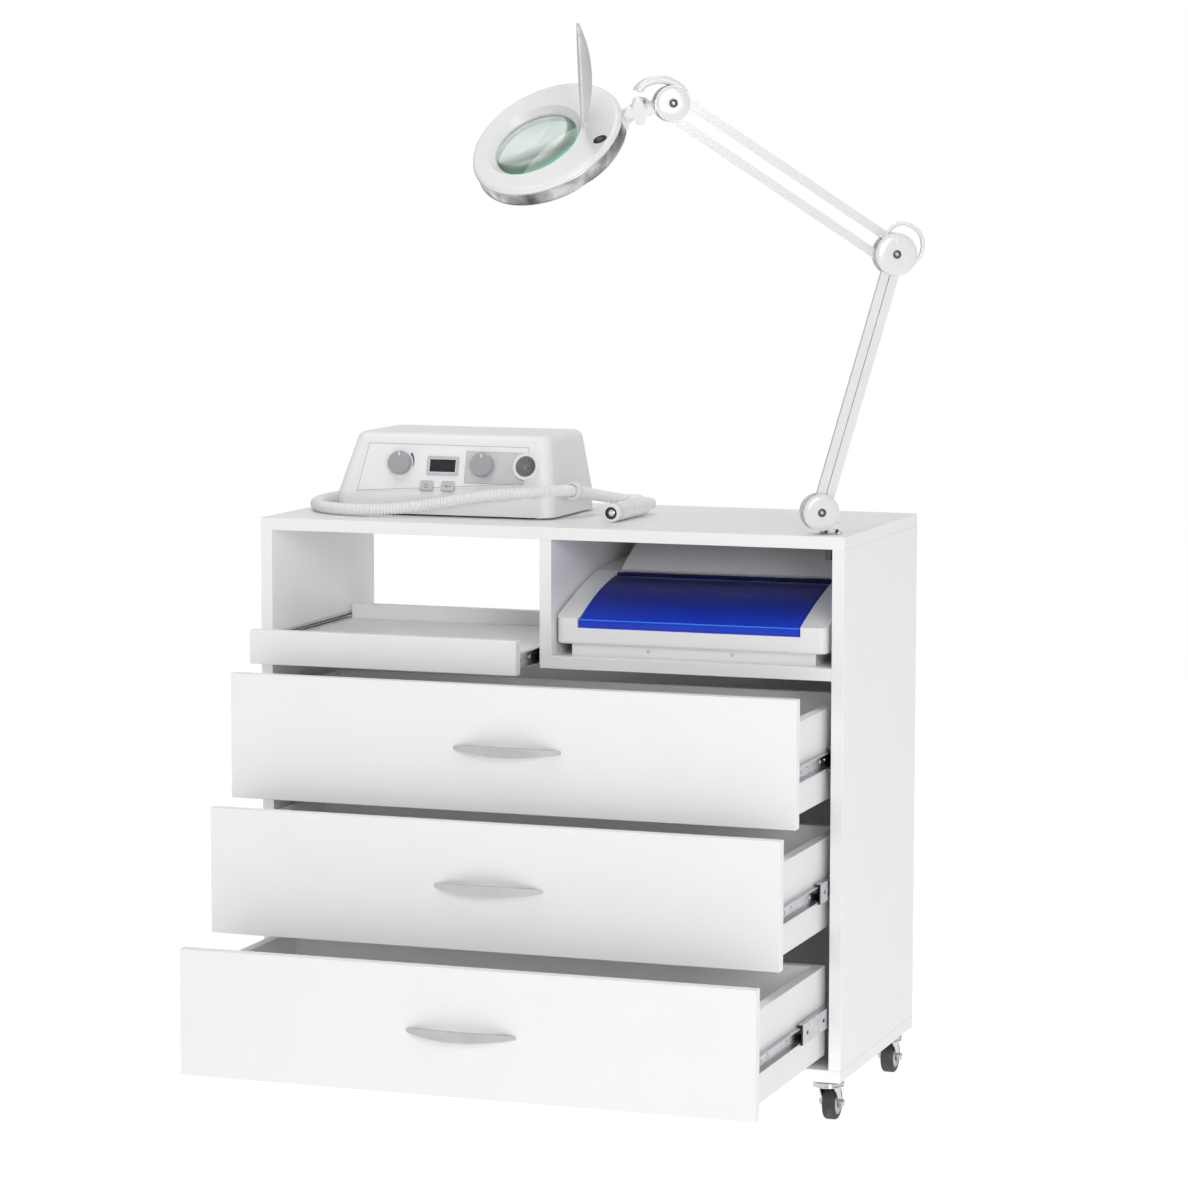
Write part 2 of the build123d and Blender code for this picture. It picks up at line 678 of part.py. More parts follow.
def unit_body(inset):
    """The unit's outer form, or its hollow when it is drawn smaller by a wall."""
    width = unit_right - unit_left - 2 * inset
    depth = unit_depth - 2 * inset
    corner = unit_round - inset / 2
    foot = Pos(unit_x, unit_y, unit_low) * RectangleRounded(width, depth, corner)
    shoulder = Pos(unit_x, unit_y, unit_shoulder) * RectangleRounded(width, depth, corner)
    back_lean = unit_lean / 2.4
    top_x = unit_x + (unit_left_lean - unit_right_lean) / 2
    top_y = unit_y + (unit_lean - back_lean) / 2
    top = Pos(top_x, top_y, unit_top - inset) * RectangleRounded(
        width - unit_left_lean - unit_right_lean, depth - unit_lean - back_lean, corner)
    body = extrude(foot, amount=unit_base) + loft([shoulder.face(), top.face()])
    rim = body.edges().filter_by(lambda e: e.center().Z > unit_top - inset - 1)
    return fillet(rim, (unit_round - 4) if inset == 0 else 4.0)


def drill_unit():
    shell = unit_body(0) - unit_body(unit_wall)
    plate = block(unit_left + 4, unit_right - 4, unit_front + 4, unit_front + unit_depth - 4,
                  unit_low, unit_low + 2)
    feet = []
    for sx in (-1, 1):
        for sy in (-1, 1):
            spot = Pos(unit_x + sx * (unit_right - unit_left - 60) / 2, unit_y + sy * (unit_depth - 50) / 2,
                       box_top + unit_foot / 2)
            feet.append(spot * Cylinder(9, unit_foot))

    # holder for the handpiece: a tube behind a collar in the leaning front
    hx, hy = on_face(holder_spot, control_height)
    tube = Pos(hx, hy, -holder_depth / 2) * Cylinder(holder_bore / 2 + 2.5, holder_depth)
    collar = Pos(hx, hy, 2.0) * Cylinder(holder_outer / 2, 6)
    bore = Pos(hx, hy, 6 - holder_depth / 2) * Cylinder(holder_bore / 2, holder_depth)
    shell += face_frame * (tube + collar)
    shell -= face_frame * bore

    # holes for the dial shafts and pockets for the buttons
    for x in dial_spots:
        dx, dy = on_face(x, control_height)
        shell -= face_frame * Pos(dx, dy, 0) * Cylinder(3.4, 12)
    for x in button_spots:
        bx, by = on_face(x, button_row)
        shell -= face_frame * Pos(bx, by, 0) * Box(button_width - 4, button_height - 4, 12)

    # clip for the hose on the right side and port for it at the back
    clip_start, clip_end = Vector(*hose_route[9]), Vector(*hose_route[10])
    way = (clip_end - clip_start).normalized()
    middle = (clip_start + clip_end) * 0.5
    inner = hose_diameter / 2 + clip_gap
    loop = rod(middle - way * 7, middle + way * 7, inner + 3)
    side_x = unit_right - unit_right_lean / 2
    loop += block(side_x - 2, middle.X - 4, middle.Y - 6, middle.Y + 6, middle.Z - 8, middle.Z + 8)
    loop -= rod(clip_start, clip_end, inner)
    port = Vector(*hose_route[0])
    knee = (port.X + 13, port.Y, port.Z + 2)
    outlet = rod((knee[0], unit_front + unit_depth - 16, knee[2]), knee, hose_diameter / 2 + 1.5)
    outlet += Pos(*knee) * Sphere(hose_diameter / 2 + 1.5)
    outlet += rod(knee, (port.X + 2, port.Y, port.Z), hose_diameter / 2 + 1.5)
    inside = unit_body(unit_wall)
    shell += (loop - inside) + (outlet - inside)
    return {"drill_housing": [shell, plate] + feet}


def drill_controls():
    nodes = {}
    outline = []
    for x, height in panel_corners:
        outline.append(on_face(x, height))
    sheet = extrude(make_face(Polyline(*outline, close=True)), amount=panel_sheet)
    sheet = fillet(sheet.edges().filter_by(Axis.Z), 3.0)
    x0, y0 = on_face(metal_patch[0], metal_patch[2])
    x1, y1 = on_face(metal_patch[1], metal_patch[3])
    patch = block(x0, x1, y0, y1, panel_sheet, panel_sheet + 0.4)
    sx, sy = on_face(display_spot, control_height - 2)
    bezel = Pos(sx, sy, panel_sheet + 1) * Box(display_size[0], display_size[1], 2)
    bezel -= Pos(sx, sy, panel_sheet + 2) * Box(display_size[0] - 8, display_size[1] - 8, 2)
    hx, hy = on_face(holder_spot, control_height)
    collar = Pos(hx, hy, 0) * Cylinder(holder_outer / 2 + 0.2, 20)
    for x in dial_spots:
        dx, dy = on_face(x, control_height)
        sheet -= Pos(dx, dy, 0) * Cylinder(3.4, 12)
        patch -= Pos(dx, dy, 0) * Cylinder(3.4, 12)
    for x in button_spots:
        bx, by = on_face(x, button_row)
        sheet -= Pos(bx, by, 0) * Box(button_width - 4, button_height - 4, 12)
    nodes["drill_fascia"] = [face_frame * (sheet - collar), face_frame * (patch - collar), face_frame * bezel]

    for name, x, rest in (("suction_dial", dial_spots[0], panel_sheet), ("speed_dial", dial_spots[1],
                                                                       panel_sheet + 0.4)):
        dx, dy = on_face(x, control_height)
        dial = Pos(dx, dy, rest + 0.5 + dial_depth / 2) * Cylinder(dial_diameter / 2, dial_depth)
        dial = fillet(dial.edges().sort_by(Axis.Z)[-1], 1.2)
        dial -= Pos(dx, dy + dial_diameter / 2 - 2, rest + dial_depth) * Box(3, 6, 4)
        dial += Pos(dx, dy, rest - 3) * Cylinder(3.0, 9)
        nodes[name] = [face_frame * dial]
    for name, x in (("power_button", button_spots[0]), ("direction_button", button_spots[1])):
        bx, by = on_face(x, button_row)
        key = Pos(bx, by, panel_sheet + 2.4) * Box(button_width, button_height, 1.6)
        key = fillet(key.edges().filter_by(Axis.Z), 1.5)
        key += Pos(bx, by, panel_sheet) * Box(button_width - 5, button_height - 5, 4)
        nodes[name] = [face_frame * key]
    return nodes


# Hose and handpiece
def bend_radius(before, corner, after):
    a = Vector(*corner) - Vector(*before)
    b = Vector(*after) - Vector(*corner)
    return 0.45 * min(a.length, b.length) / math.tan(math.radians(a.get_angle(b)) / 2)


def hose():
    route = FilletPolyline(*hose_route, radius=[
        bend_radius(*hose_route[i - 1:i + 2]) for i in range(1, len(hose_route) - 1)])
    start = Plane(origin=route @ 0, z_dir=route % 0)
    return sweep(start * Circle(hose_diameter / 2), path=route)


def handpiece():
    front, back = Vector(*on_top(handpiece_front)), Vector(*on_top(handpiece_back))
    way = (back - front).normalized()
    body = rod(front, back, handpiece_diameter / 2)
    body = fillet(body.edges().filter_by(GeomType.CIRCLE), 2.5)
    nose = rod(front - way, front + way * 6, 8.2) - rod(front - way * 2, front + way * 8, 3.0)
    body = body - nose
    end = Vector(*hose_route[-1])
    last = (end - Vector(*hose_route[-2])).normalized()
    knee = end + last * 15
    neck = hose_diameter / 2 - 0.5
    body += rod(end + last * 0.8, knee, neck)
    body += Pos(*knee) * Sphere(neck)
    body += rod(knee, back - way * 4, neck)
    chuck = rod(front + way * 1.5, front + way * 5.9, 5.6) - rod(front, front + way * 8, 3.2)
    return [body, chuck]


# Steriliser in the right bay
steriliser_back = half_depth - back_board - steriliser_rear_gap
band_low = shelf_top + steriliser_plinth
band_top = band_low + steriliser_band
visor_axis = (steriliser_back - 153.0, band_top + 46.5)


def hood_outline(inset):
    front = (steriliser_front + 4 + inset, band_top)
    brow = (visor_axis[0] + 6, visor_axis[1] + 5 - inset)
    middle = (0.447 * front[0] + 0.553 * brow[0], band_top + 33 - inset)
    crest = (steriliser_back - 34, band_top + hood_height - inset)
    nape = (steriliser_back - inset, band_top + hood_height - 24)
    heel = (steriliser_back - inset, band_top)
    edges = ThreePointArc(front, middle, brow) + Line(brow, crest) + Line(crest, nape) + Line(nape, heel)
    return make_face(edges + Line(heel, front))


def cowl_outline(inset):
    """The raised middle of the hood, climbing back from the visor."""
    low = (visor_axis[0] + 4, band_top)
    foot = (visor_axis[0] + 4, visor_axis[1] - 3 - inset)
    crest = (visor_axis[0] + cowl_reach, band_top + cowl_height - inset)
    back = (steriliser_back - 24, band_top + cowl_height - 6 - inset)
    nape = (steriliser_back - inset, band_top + cowl_height - 30)
    heel = (steriliser_back - inset, band_top)
    rise = ThreePointArc(foot, (visor_axis[0] + 42, band_top + 66 - inset), crest)
    edges = Line(low, foot) + rise + Line(crest, back) + Line(back, nape) + Line(nape, heel)
    return make_face(edges + Line(heel, low))


def visor_outline():
    lip_y = steriliser_front + 1.5
    low = (lip_y, band_top - 13)
    step = (lip_y, band_top - 4)
    peak = (visor_axis[0] - 3, visor_axis[1])
    bow = (lip_y * 0.55 + peak[0] * 0.45, band_top + 28)
    t = visor_sheet
    outer = Line(low, step) + ThreePointArc(step, bow, peak)
    inner = ThreePointArc((peak[0], peak[1] - t), (bow[0] + t * 0.5, bow[1] - t),
                          (step[0] + t, step[1] - t * 0.6))
    edges = outer + Line(peak, (peak[0], peak[1] - t)) + inner + Line((step[0] + t, step[1] - t * 0.6),
                                                                     (low[0] + t, low[1]))
    return make_face(edges + Line((low[0] + t, low[1]), low))


def sideways(face, x0, x1):
    """Extrude a Y-Z outline between two X positions."""
    return Pos(x0, 0, 0) * extrude(Plane.YZ * face, amount=x1 - x0)


def steriliser():
    tray_x0, tray_x1 = visor_left + 3, visor_right - 3
    base = block(steriliser_left, steriliser_right, steriliser_front, steriliser_back, band_low, band_top)
    base = fillet(base.edges().filter_by(Axis.Z), 12.0)
    base = fillet(base.edges().sort_by(Axis.Z)[:8], 4.0)
    base += block(steriliser_left + steriliser_inset, steriliser_right - steriliser_inset, steriliser_front + 14,
                  steriliser_back - 14, shelf_top, band_low + 5)
    base -= block(tray_x0, tray_x1, steriliser_front + 20, steriliser_back - 30, band_low + 8, band_top + 1)
    base -= block(visor_left - 1, visor_right + 1, steriliser_front - 1, steriliser_front + 17, band_top - 14,
                  band_top + 1)

    hood = sideways(hood_outline(0), steriliser_left, steriliser_right)
    hood += sideways(cowl_outline(0), visor_left, visor_right)
    hood -= sideways(hood_outline(hood_wall), tray_x0, tray_x1)
    hood -= sideways(cowl_outline(hood_wall), tray_x0, tray_x1)
    hood -= block(visor_left, visor_right, steriliser_front - 5, visor_axis[0] + 4, band_top - 1,
                  band_top + cowl_height + 5)
    hood -= along_x(visor_left - 6, visor_right + 6, *visor_axis, 2.8)
    slit = block(visor_left, visor_right, visor_axis[0] - 1, visor_axis[0] + 14,
                 visor_axis[1] - 5, visor_axis[1] + 5)
    hood -= slit

    visor = sideways(visor_outline(), visor_left + visor_gap, visor_right - visor_gap)
    visor += along_x(visor_left + visor_gap, visor_right - visor_gap, *visor_axis, 3.2)
    visor += along_x(visor_left - 5, visor_right + 5, *visor_axis, 2.5)

    tube_y, tube_z = steriliser_back - 55, band_top + cowl_height - 24
    tube = along_x(tray_x0 + 14, tray_x1 - 14, tube_y, tube_z, 8)
    holders = [block(x - 6, x + 6, tube_y - 10, tube_y + 10, tube_z - 10, tube_z + 10)
               for x in (tray_x0 + 7, tray_x1 - 7)]
    return {"steriliser_body": [base, hood, tube] + holders, "steriliser_visor": [visor]}


# Build everything and write one file per node
def main():
    nodes = {}
    fixed = []
    nodes.update(cabinet())
    for index in range(3):
        pieces, rails = drawer(index)
        nodes.update(pieces)
        fixed += rails
    pieces, rails = tray()
    nodes.update(pieces)
    fixed += rails
    nodes["fixed_runners"] = fixed
    nodes.update(casters())
    nodes.update(lamp())
    nodes.update(drill_unit())
    nodes.update(drill_controls())
    nodes["suction_hose"] = [hose()]
    nodes["drill_handpiece"] = handpiece()
    nodes.update(steriliser())
    os.makedirs("parts", exist_ok=True)
    for name, solids in nodes.items():
        flat = []
        for solid in solids:
            flat += solid.solids()
        export_step(Compound(children=flat), f"parts/{name}.step")


main()
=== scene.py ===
import bpy
import bmesh
import json
import math
from mathutils import Matrix, Vector


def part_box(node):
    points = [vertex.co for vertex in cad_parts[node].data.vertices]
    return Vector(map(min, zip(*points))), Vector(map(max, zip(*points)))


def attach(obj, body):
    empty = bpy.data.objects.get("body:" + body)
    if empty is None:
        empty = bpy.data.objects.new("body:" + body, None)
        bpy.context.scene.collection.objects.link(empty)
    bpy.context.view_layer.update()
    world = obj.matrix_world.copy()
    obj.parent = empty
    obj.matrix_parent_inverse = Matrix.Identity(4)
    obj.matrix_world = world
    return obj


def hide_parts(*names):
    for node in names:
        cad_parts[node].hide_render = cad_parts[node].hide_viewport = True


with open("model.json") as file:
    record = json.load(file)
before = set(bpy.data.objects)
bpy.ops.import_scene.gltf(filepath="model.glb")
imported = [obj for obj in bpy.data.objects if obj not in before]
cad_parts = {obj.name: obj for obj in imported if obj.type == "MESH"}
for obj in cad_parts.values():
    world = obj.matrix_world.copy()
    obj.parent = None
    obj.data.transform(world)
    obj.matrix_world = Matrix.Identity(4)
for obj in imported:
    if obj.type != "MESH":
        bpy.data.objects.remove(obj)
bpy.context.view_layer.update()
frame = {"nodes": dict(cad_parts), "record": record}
nodes = frame["nodes"]
joints = {joint["name"]: joint for joint in frame["record"]["behaviour"]["joints"]}
print("frame loaded:", len(nodes), "nodes")


# small helpers shared by all the pieces
def jointSpot(name):
    return Vector(joints[name]["pos_m"]), Vector(joints[name]["axis"]).normalized()


def axisFrame(origin, axis, side=(1, 0, 0)):
    # a matrix whose Z is the axis and whose X leans to the side given
    z = Vector(axis).normalized()
    x = Vector(side) - z * z.dot(Vector(side))
    if x.length < 1e-4:
        x = z.orthogonal()
    x.normalize()
    y = z.cross(x)
    place = Matrix((x, y, z)).transposed().to_4x4()
    place.translation = Vector(origin)
    return place


def addPiece(name, mesh, finish, body, smooth=35):
    mesh.materials.clear()
    mesh.materials.append(finish)
    piece = bpy.data.objects.new(name, mesh)
    bpy.context.collection.objects.link(piece)
    mesh.shade_smooth()
    mesh.set_sharp_from_angle(angle=math.radians(smooth))
    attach(piece, body)
    return piece


def fromBmesh(name, shape):
    bmesh.ops.recalc_face_normals(shape, faces=shape.faces)
    mesh = bpy.data.meshes.new(name)
    shape.to_mesh(mesh)
    shape.free()
    return mesh


def lathe(shape, place, profile, turns=48, closed=False):
    # profile is a list of (radius, height) in metres round the Z of place
    rings = []
    for radius, height in profile:
        if radius < 1e-6:
            rings.append([shape.verts.new(place @ Vector((0, 0, height)))])
            continue
        ring = []
        for step in range(turns):
            angle = 2 * math.pi * step / turns
            spot = Vector((radius * math.cos(angle), radius * math.sin(angle), height))
            ring.append(shape.verts.new(place @ spot))
        rings.append(ring)
    pairs = list(zip(rings, rings[1:]))
    if closed:
        pairs.append((rings[-1], rings[0]))
    for low, high in pairs:
        for step in range(turns):
            following = (step + 1) % turns
            corners = [low[step % len(low)], low[following % len(low)],
                       high[following % len(high)], high[step % len(high)]]
            unique = []
            for corner in corners:
                if corner not in unique:
                    unique.append(corner)
            if len(unique) > 2:
                shape.faces.new(unique)


def softBox(shape, place, size, edge, segments=2):
    # a box centred on place with rounded edges
    made = bmesh.ops.create_cube(shape, size=1.0)["verts"]
    for vert in made:
        vert.co = place @ Vector([vert.co[i] * size[i] for i in range(3)])
    if edge > 0:
        edges = list({one for vert in made for one in vert.link_edges})
        bmesh.ops.bevel(shape, geom=edges, offset=edge, segments=segments, affect="EDGES", profile=0.6)


def wires(name, runs, radius, finish, body, closed=False, order=0):
    # round wires along lists of points, all in one curve object
    curve = bpy.data.curves.new(name, "CURVE")
    curve.dimensions = "3D"
    curve.bevel_depth = radius
    curve.bevel_resolution = 3
    curve.use_fill_caps = True
    for run in runs:
        spline = curve.splines.new("NURBS" if order else "POLY")
        spline.points.add(len(run) - 1)
        for point, spot in zip(spline.points, run):
            point.co = (*spot, 1)
        if order:
            spline.order_u = order
            spline.use_endpoint_u = not closed
            spline.resolution_u = 8
        spline.use_cyclic_u = closed
    curve.materials.append(finish)
    piece = bpy.data.objects.new(name, curve)
    bpy.context.collection.objects.link(piece)
    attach(piece, body)
    return piece


def tubeMesh(name, path, radiusAt, around=24):
    # a tube round a path, its radius read from the distance run
    shape = bmesh.new()
    side = (path[1] - path[0]).orthogonal().normalized()
    rings = []
    run = 0.0
    for i, spot in enumerate(path):
        ahead = path[min(i + 1, len(path) - 1)] - path[max(i - 1, 0)]
        ahead.normalize()
        side = (side - ahead * ahead.dot(side)).normalized()
        other = ahead.cross(side)
        if i:
            run += (spot - path[i - 1]).length
        radius = radiusAt(run)
        ring = []
        for step in range(around):
            angle = 2 * math.pi * step / around
            ring.append(shape.verts.new(spot + (side * math.cos(angle) + other * math.sin(angle)) * radius))
        rings.append(ring)
    for low, high in zip(rings, rings[1:]):
        for step in range(around):
            following = (step + 1) % around
            shape.faces.new((low[step], low[following], high[following], high[step]))
    shape.faces.new(rings[0][::-1])
    shape.faces.new(rings[-1])
    return fromBmesh(name, shape)


def alongRoute(points, spacing):
    # evenly spaced points read from the smooth line through a route
    curve = bpy.data.curves.new("route", "CURVE")
    curve.dimensions = "3D"
    spline = curve.splines.new("NURBS")
    spline.points.add(len(points) - 1)
    for point, spot in zip(spline.points, points):
        point.co = (*spot, 1)
    spline.order_u = 3
    spline.use_endpoint_u = True
    spline.resolution_u = 24
    holder = bpy.data.objects.new("route", curve)
    bpy.context.collection.objects.link(holder)
    bpy.context.view_layer.update()
    line = [vert.co.copy() for vert in bpy.data.meshes.new_from_object(holder).vertices]
    bpy.data.objects.remove(holder)
    spots = [line[0].copy()]
    left = spacing
    for start, end in zip(line, line[1:]):
        gap = (end - start).length
        gone = 0.0
        while gap - gone >= left:
            gone += left
            left = spacing
            spots.append(start.lerp(end, gone / gap))
        left -= gap - gone
    spots.append(line[-1].copy())
    return spots


# materials
class Finish:
    # one material: colour drift, roughness drift and a fine relief, all in the frame's metres
    def __init__(self, name, look, turn=None):
        self.material = bpy.data.materials.new(name)
        self.material.use_nodes = True
        tree = self.material.node_tree
        self.tree = tree
        self.shader = tree.nodes["Principled BSDF"]
        place = tree.nodes.new("ShaderNodeTexCoord")
        stretch = tree.nodes.new("ShaderNodeMapping")
        stretch.vector_type = "POINT"
        if turn is not None:
            stretch.inputs["Rotation"].default_value = turn.to_euler()
        stretch.inputs["Scale"].default_value = (1, 1, 1)
        tree.links.new(place.outputs["Object"], stretch.inputs["Vector"])
        squeeze = tree.nodes.new("ShaderNodeVectorMath")
        squeeze.operation = "MULTIPLY"
        squeeze.inputs[1].default_value = look.get("grain", (1, 1, 1))
        tree.links.new(stretch.outputs["Vector"], squeeze.inputs[0])
        self.place = squeeze.outputs["Vector"]
        self.plain = place.outputs["Object"]
        fine = self.noise(look.get("fineScale", 900), 3, self.place)
        broad = self.noise(look.get("broadScale", 14), 4, self.plain)
        ramp = self.ramp(broad, [(0.32, look["colour"]), (0.72, look.get("drift", look["colour"]))])
        speck = look.get("speck", 0.0)
        if speck:
            mix = tree.nodes.new("ShaderNodeMix")
            mix.data_type = "RGBA"
            mix.blend_type = "MULTIPLY"
            shade = self.ramp(fine, [(0.35, (1 - speck,) * 3), (0.65, (1, 1, 1))])
            mix.inputs["Factor"].default_value = 1.0
            tree.links.new(ramp, mix.inputs["A"])
            tree.links.new(shade, mix.inputs["B"])
            ramp = mix.outputs["Result"]
        tree.links.new(ramp, self.shader.inputs["Base Color"])
        low, high = look.get("rough", (0.3, 0.4))
        spread = tree.nodes.new("ShaderNodeMapRange")
        spread.inputs["From Min"].default_value = 0.3
        spread.inputs["From Max"].default_value = 0.7
        spread.inputs["To Min"].default_value = low
        spread.inputs["To Max"].default_value = high
        tree.links.new(fine, spread.inputs["Value"])
        tree.links.new(spread.outputs["Result"], self.shader.inputs["Roughness"])
        bump = tree.nodes.new("ShaderNodeBump")
        bump.inputs["Strength"].default_value = look.get("relief", 0.1)
        bump.inputs["Distance"].default_value = look.get("reliefDepth", 0.0002)
        tree.links.new(fine, bump.inputs["Height"])
        tree.links.new(bump.outputs["Normal"], self.shader.inputs["Normal"])
        self.colour = ramp
        for socket, value in look.get("sockets", {}).items():
            self.shader.inputs[socket].default_value = value

    def noise(self, scale, detail, place):
        texture = self.tree.nodes.new("ShaderNodeTexNoise")
        texture.inputs["Scale"].default_value = scale
        texture.inputs["Detail"].default_value = detail
        self.tree.links.new(place, texture.inputs["Vector"])
        return texture.outputs["Fac"]

    def tint(self, shade):
        mix = self.tree.nodes.new("ShaderNodeMix")
        mix.data_type = "RGBA"
        mix.blend_type = "MULTIPLY"
        mix.inputs["Factor"].default_value = 1.0
        self.tree.links.new(self.colour, mix.inputs["A"])
        self.tree.links.new(shade, mix.inputs["B"])
        self.colour = mix.outputs["Result"]
        self.tree.links.new(self.colour, self.shader.inputs["Base Color"])

    def ramp(self, value, stops):
        ramp = self.tree.nodes.new("ShaderNodeValToRGB")
        self.tree.links.new(value, ramp.inputs["Fac"])
        elements = ramp.color_ramp.elements
        while len(elements) < len(stops):
            elements.new(0.5)
        for element, (spot, colour) in zip(elements, stops):
            element.position = spot
            element.color = (*colour[:3], 1)
        return ramp.outputs["Color"]


def paintShadeAlong(finish, axis, start, end, shade):
    # paints shade into a finish: darkens it steadily from start to end along one axis of the frame
    tree = finish.tree
    split = tree.nodes.new("ShaderNodeSeparateXYZ")
    tree.links.new(finish.plain, split.inputs["Vector"])
    reach = tree.nodes.new("ShaderNodeMapRange")
    reach.inputs["From Min"].default_value = start
    reach.inputs["From Max"].default_value = end
    tree.links.new(split.outputs[axis], reach.inputs["Value"])
    finish.tint(finish.ramp(reach.outputs["Result"], [(0.0, (1, 1, 1)), (0.35, (0.5, 0.45, 0.55)), (1.0, shade)]))


def paintedCrescent(finish, spot, rings):
    # tints a finish in rings round a spot, each ring as (distance in metres, colour); used to paint reflection and
    # shade into the lens glass
    tree = finish.tree
    away = tree.nodes.new("ShaderNodeVectorMath")
    away.operation = "DISTANCE"
    away.inputs[1].default_value = spot
    tree.links.new(finish.plain, away.inputs[0])
    reach = rings[-1][0] * 1.1
    share = tree.nodes.new("ShaderNodeMapRange")
    share.inputs["From Max"].default_value = reach
    tree.links.new(away.outputs["Value"], share.inputs["Value"])
    finish.tint(finish.ramp(share.outputs["Result"], [(distance / reach, shade) for distance, shade in rings]))


def wear(finish, colour, threshold=0.56, amount=0.5):
    # rubbed spots, where a noise at scale 60 runs high
    tree = finish.tree
    patch = finish.noise(60, 6, finish.plain)
    mask = finish.ramp(patch, [(threshold, (0, 0, 0)), (threshold + 0.12, (amount,) * 3)])
    mix = tree.nodes.new("ShaderNodeMix")
    mix.data_type = "RGBA"
    mix.inputs["B"].default_value = (*colour, 1)
    tree.links.new(mask, mix.inputs["Factor"])
    tree.links.new(finish.colour, mix.inputs["A"])
    tree.links.new(mix.outputs["Result"], finish.shader.inputs["Base Color"])
    finish.colour = mix.outputs["Result"]


headAxis = jointSpot("lens_cover_hinge")[1]
headNormal = -Vector(joints["lamp_switch_press"]["axis"])
towardArm = headAxis.cross(headNormal).normalized()
headTurn = Matrix((towardArm, headAxis, headNormal))

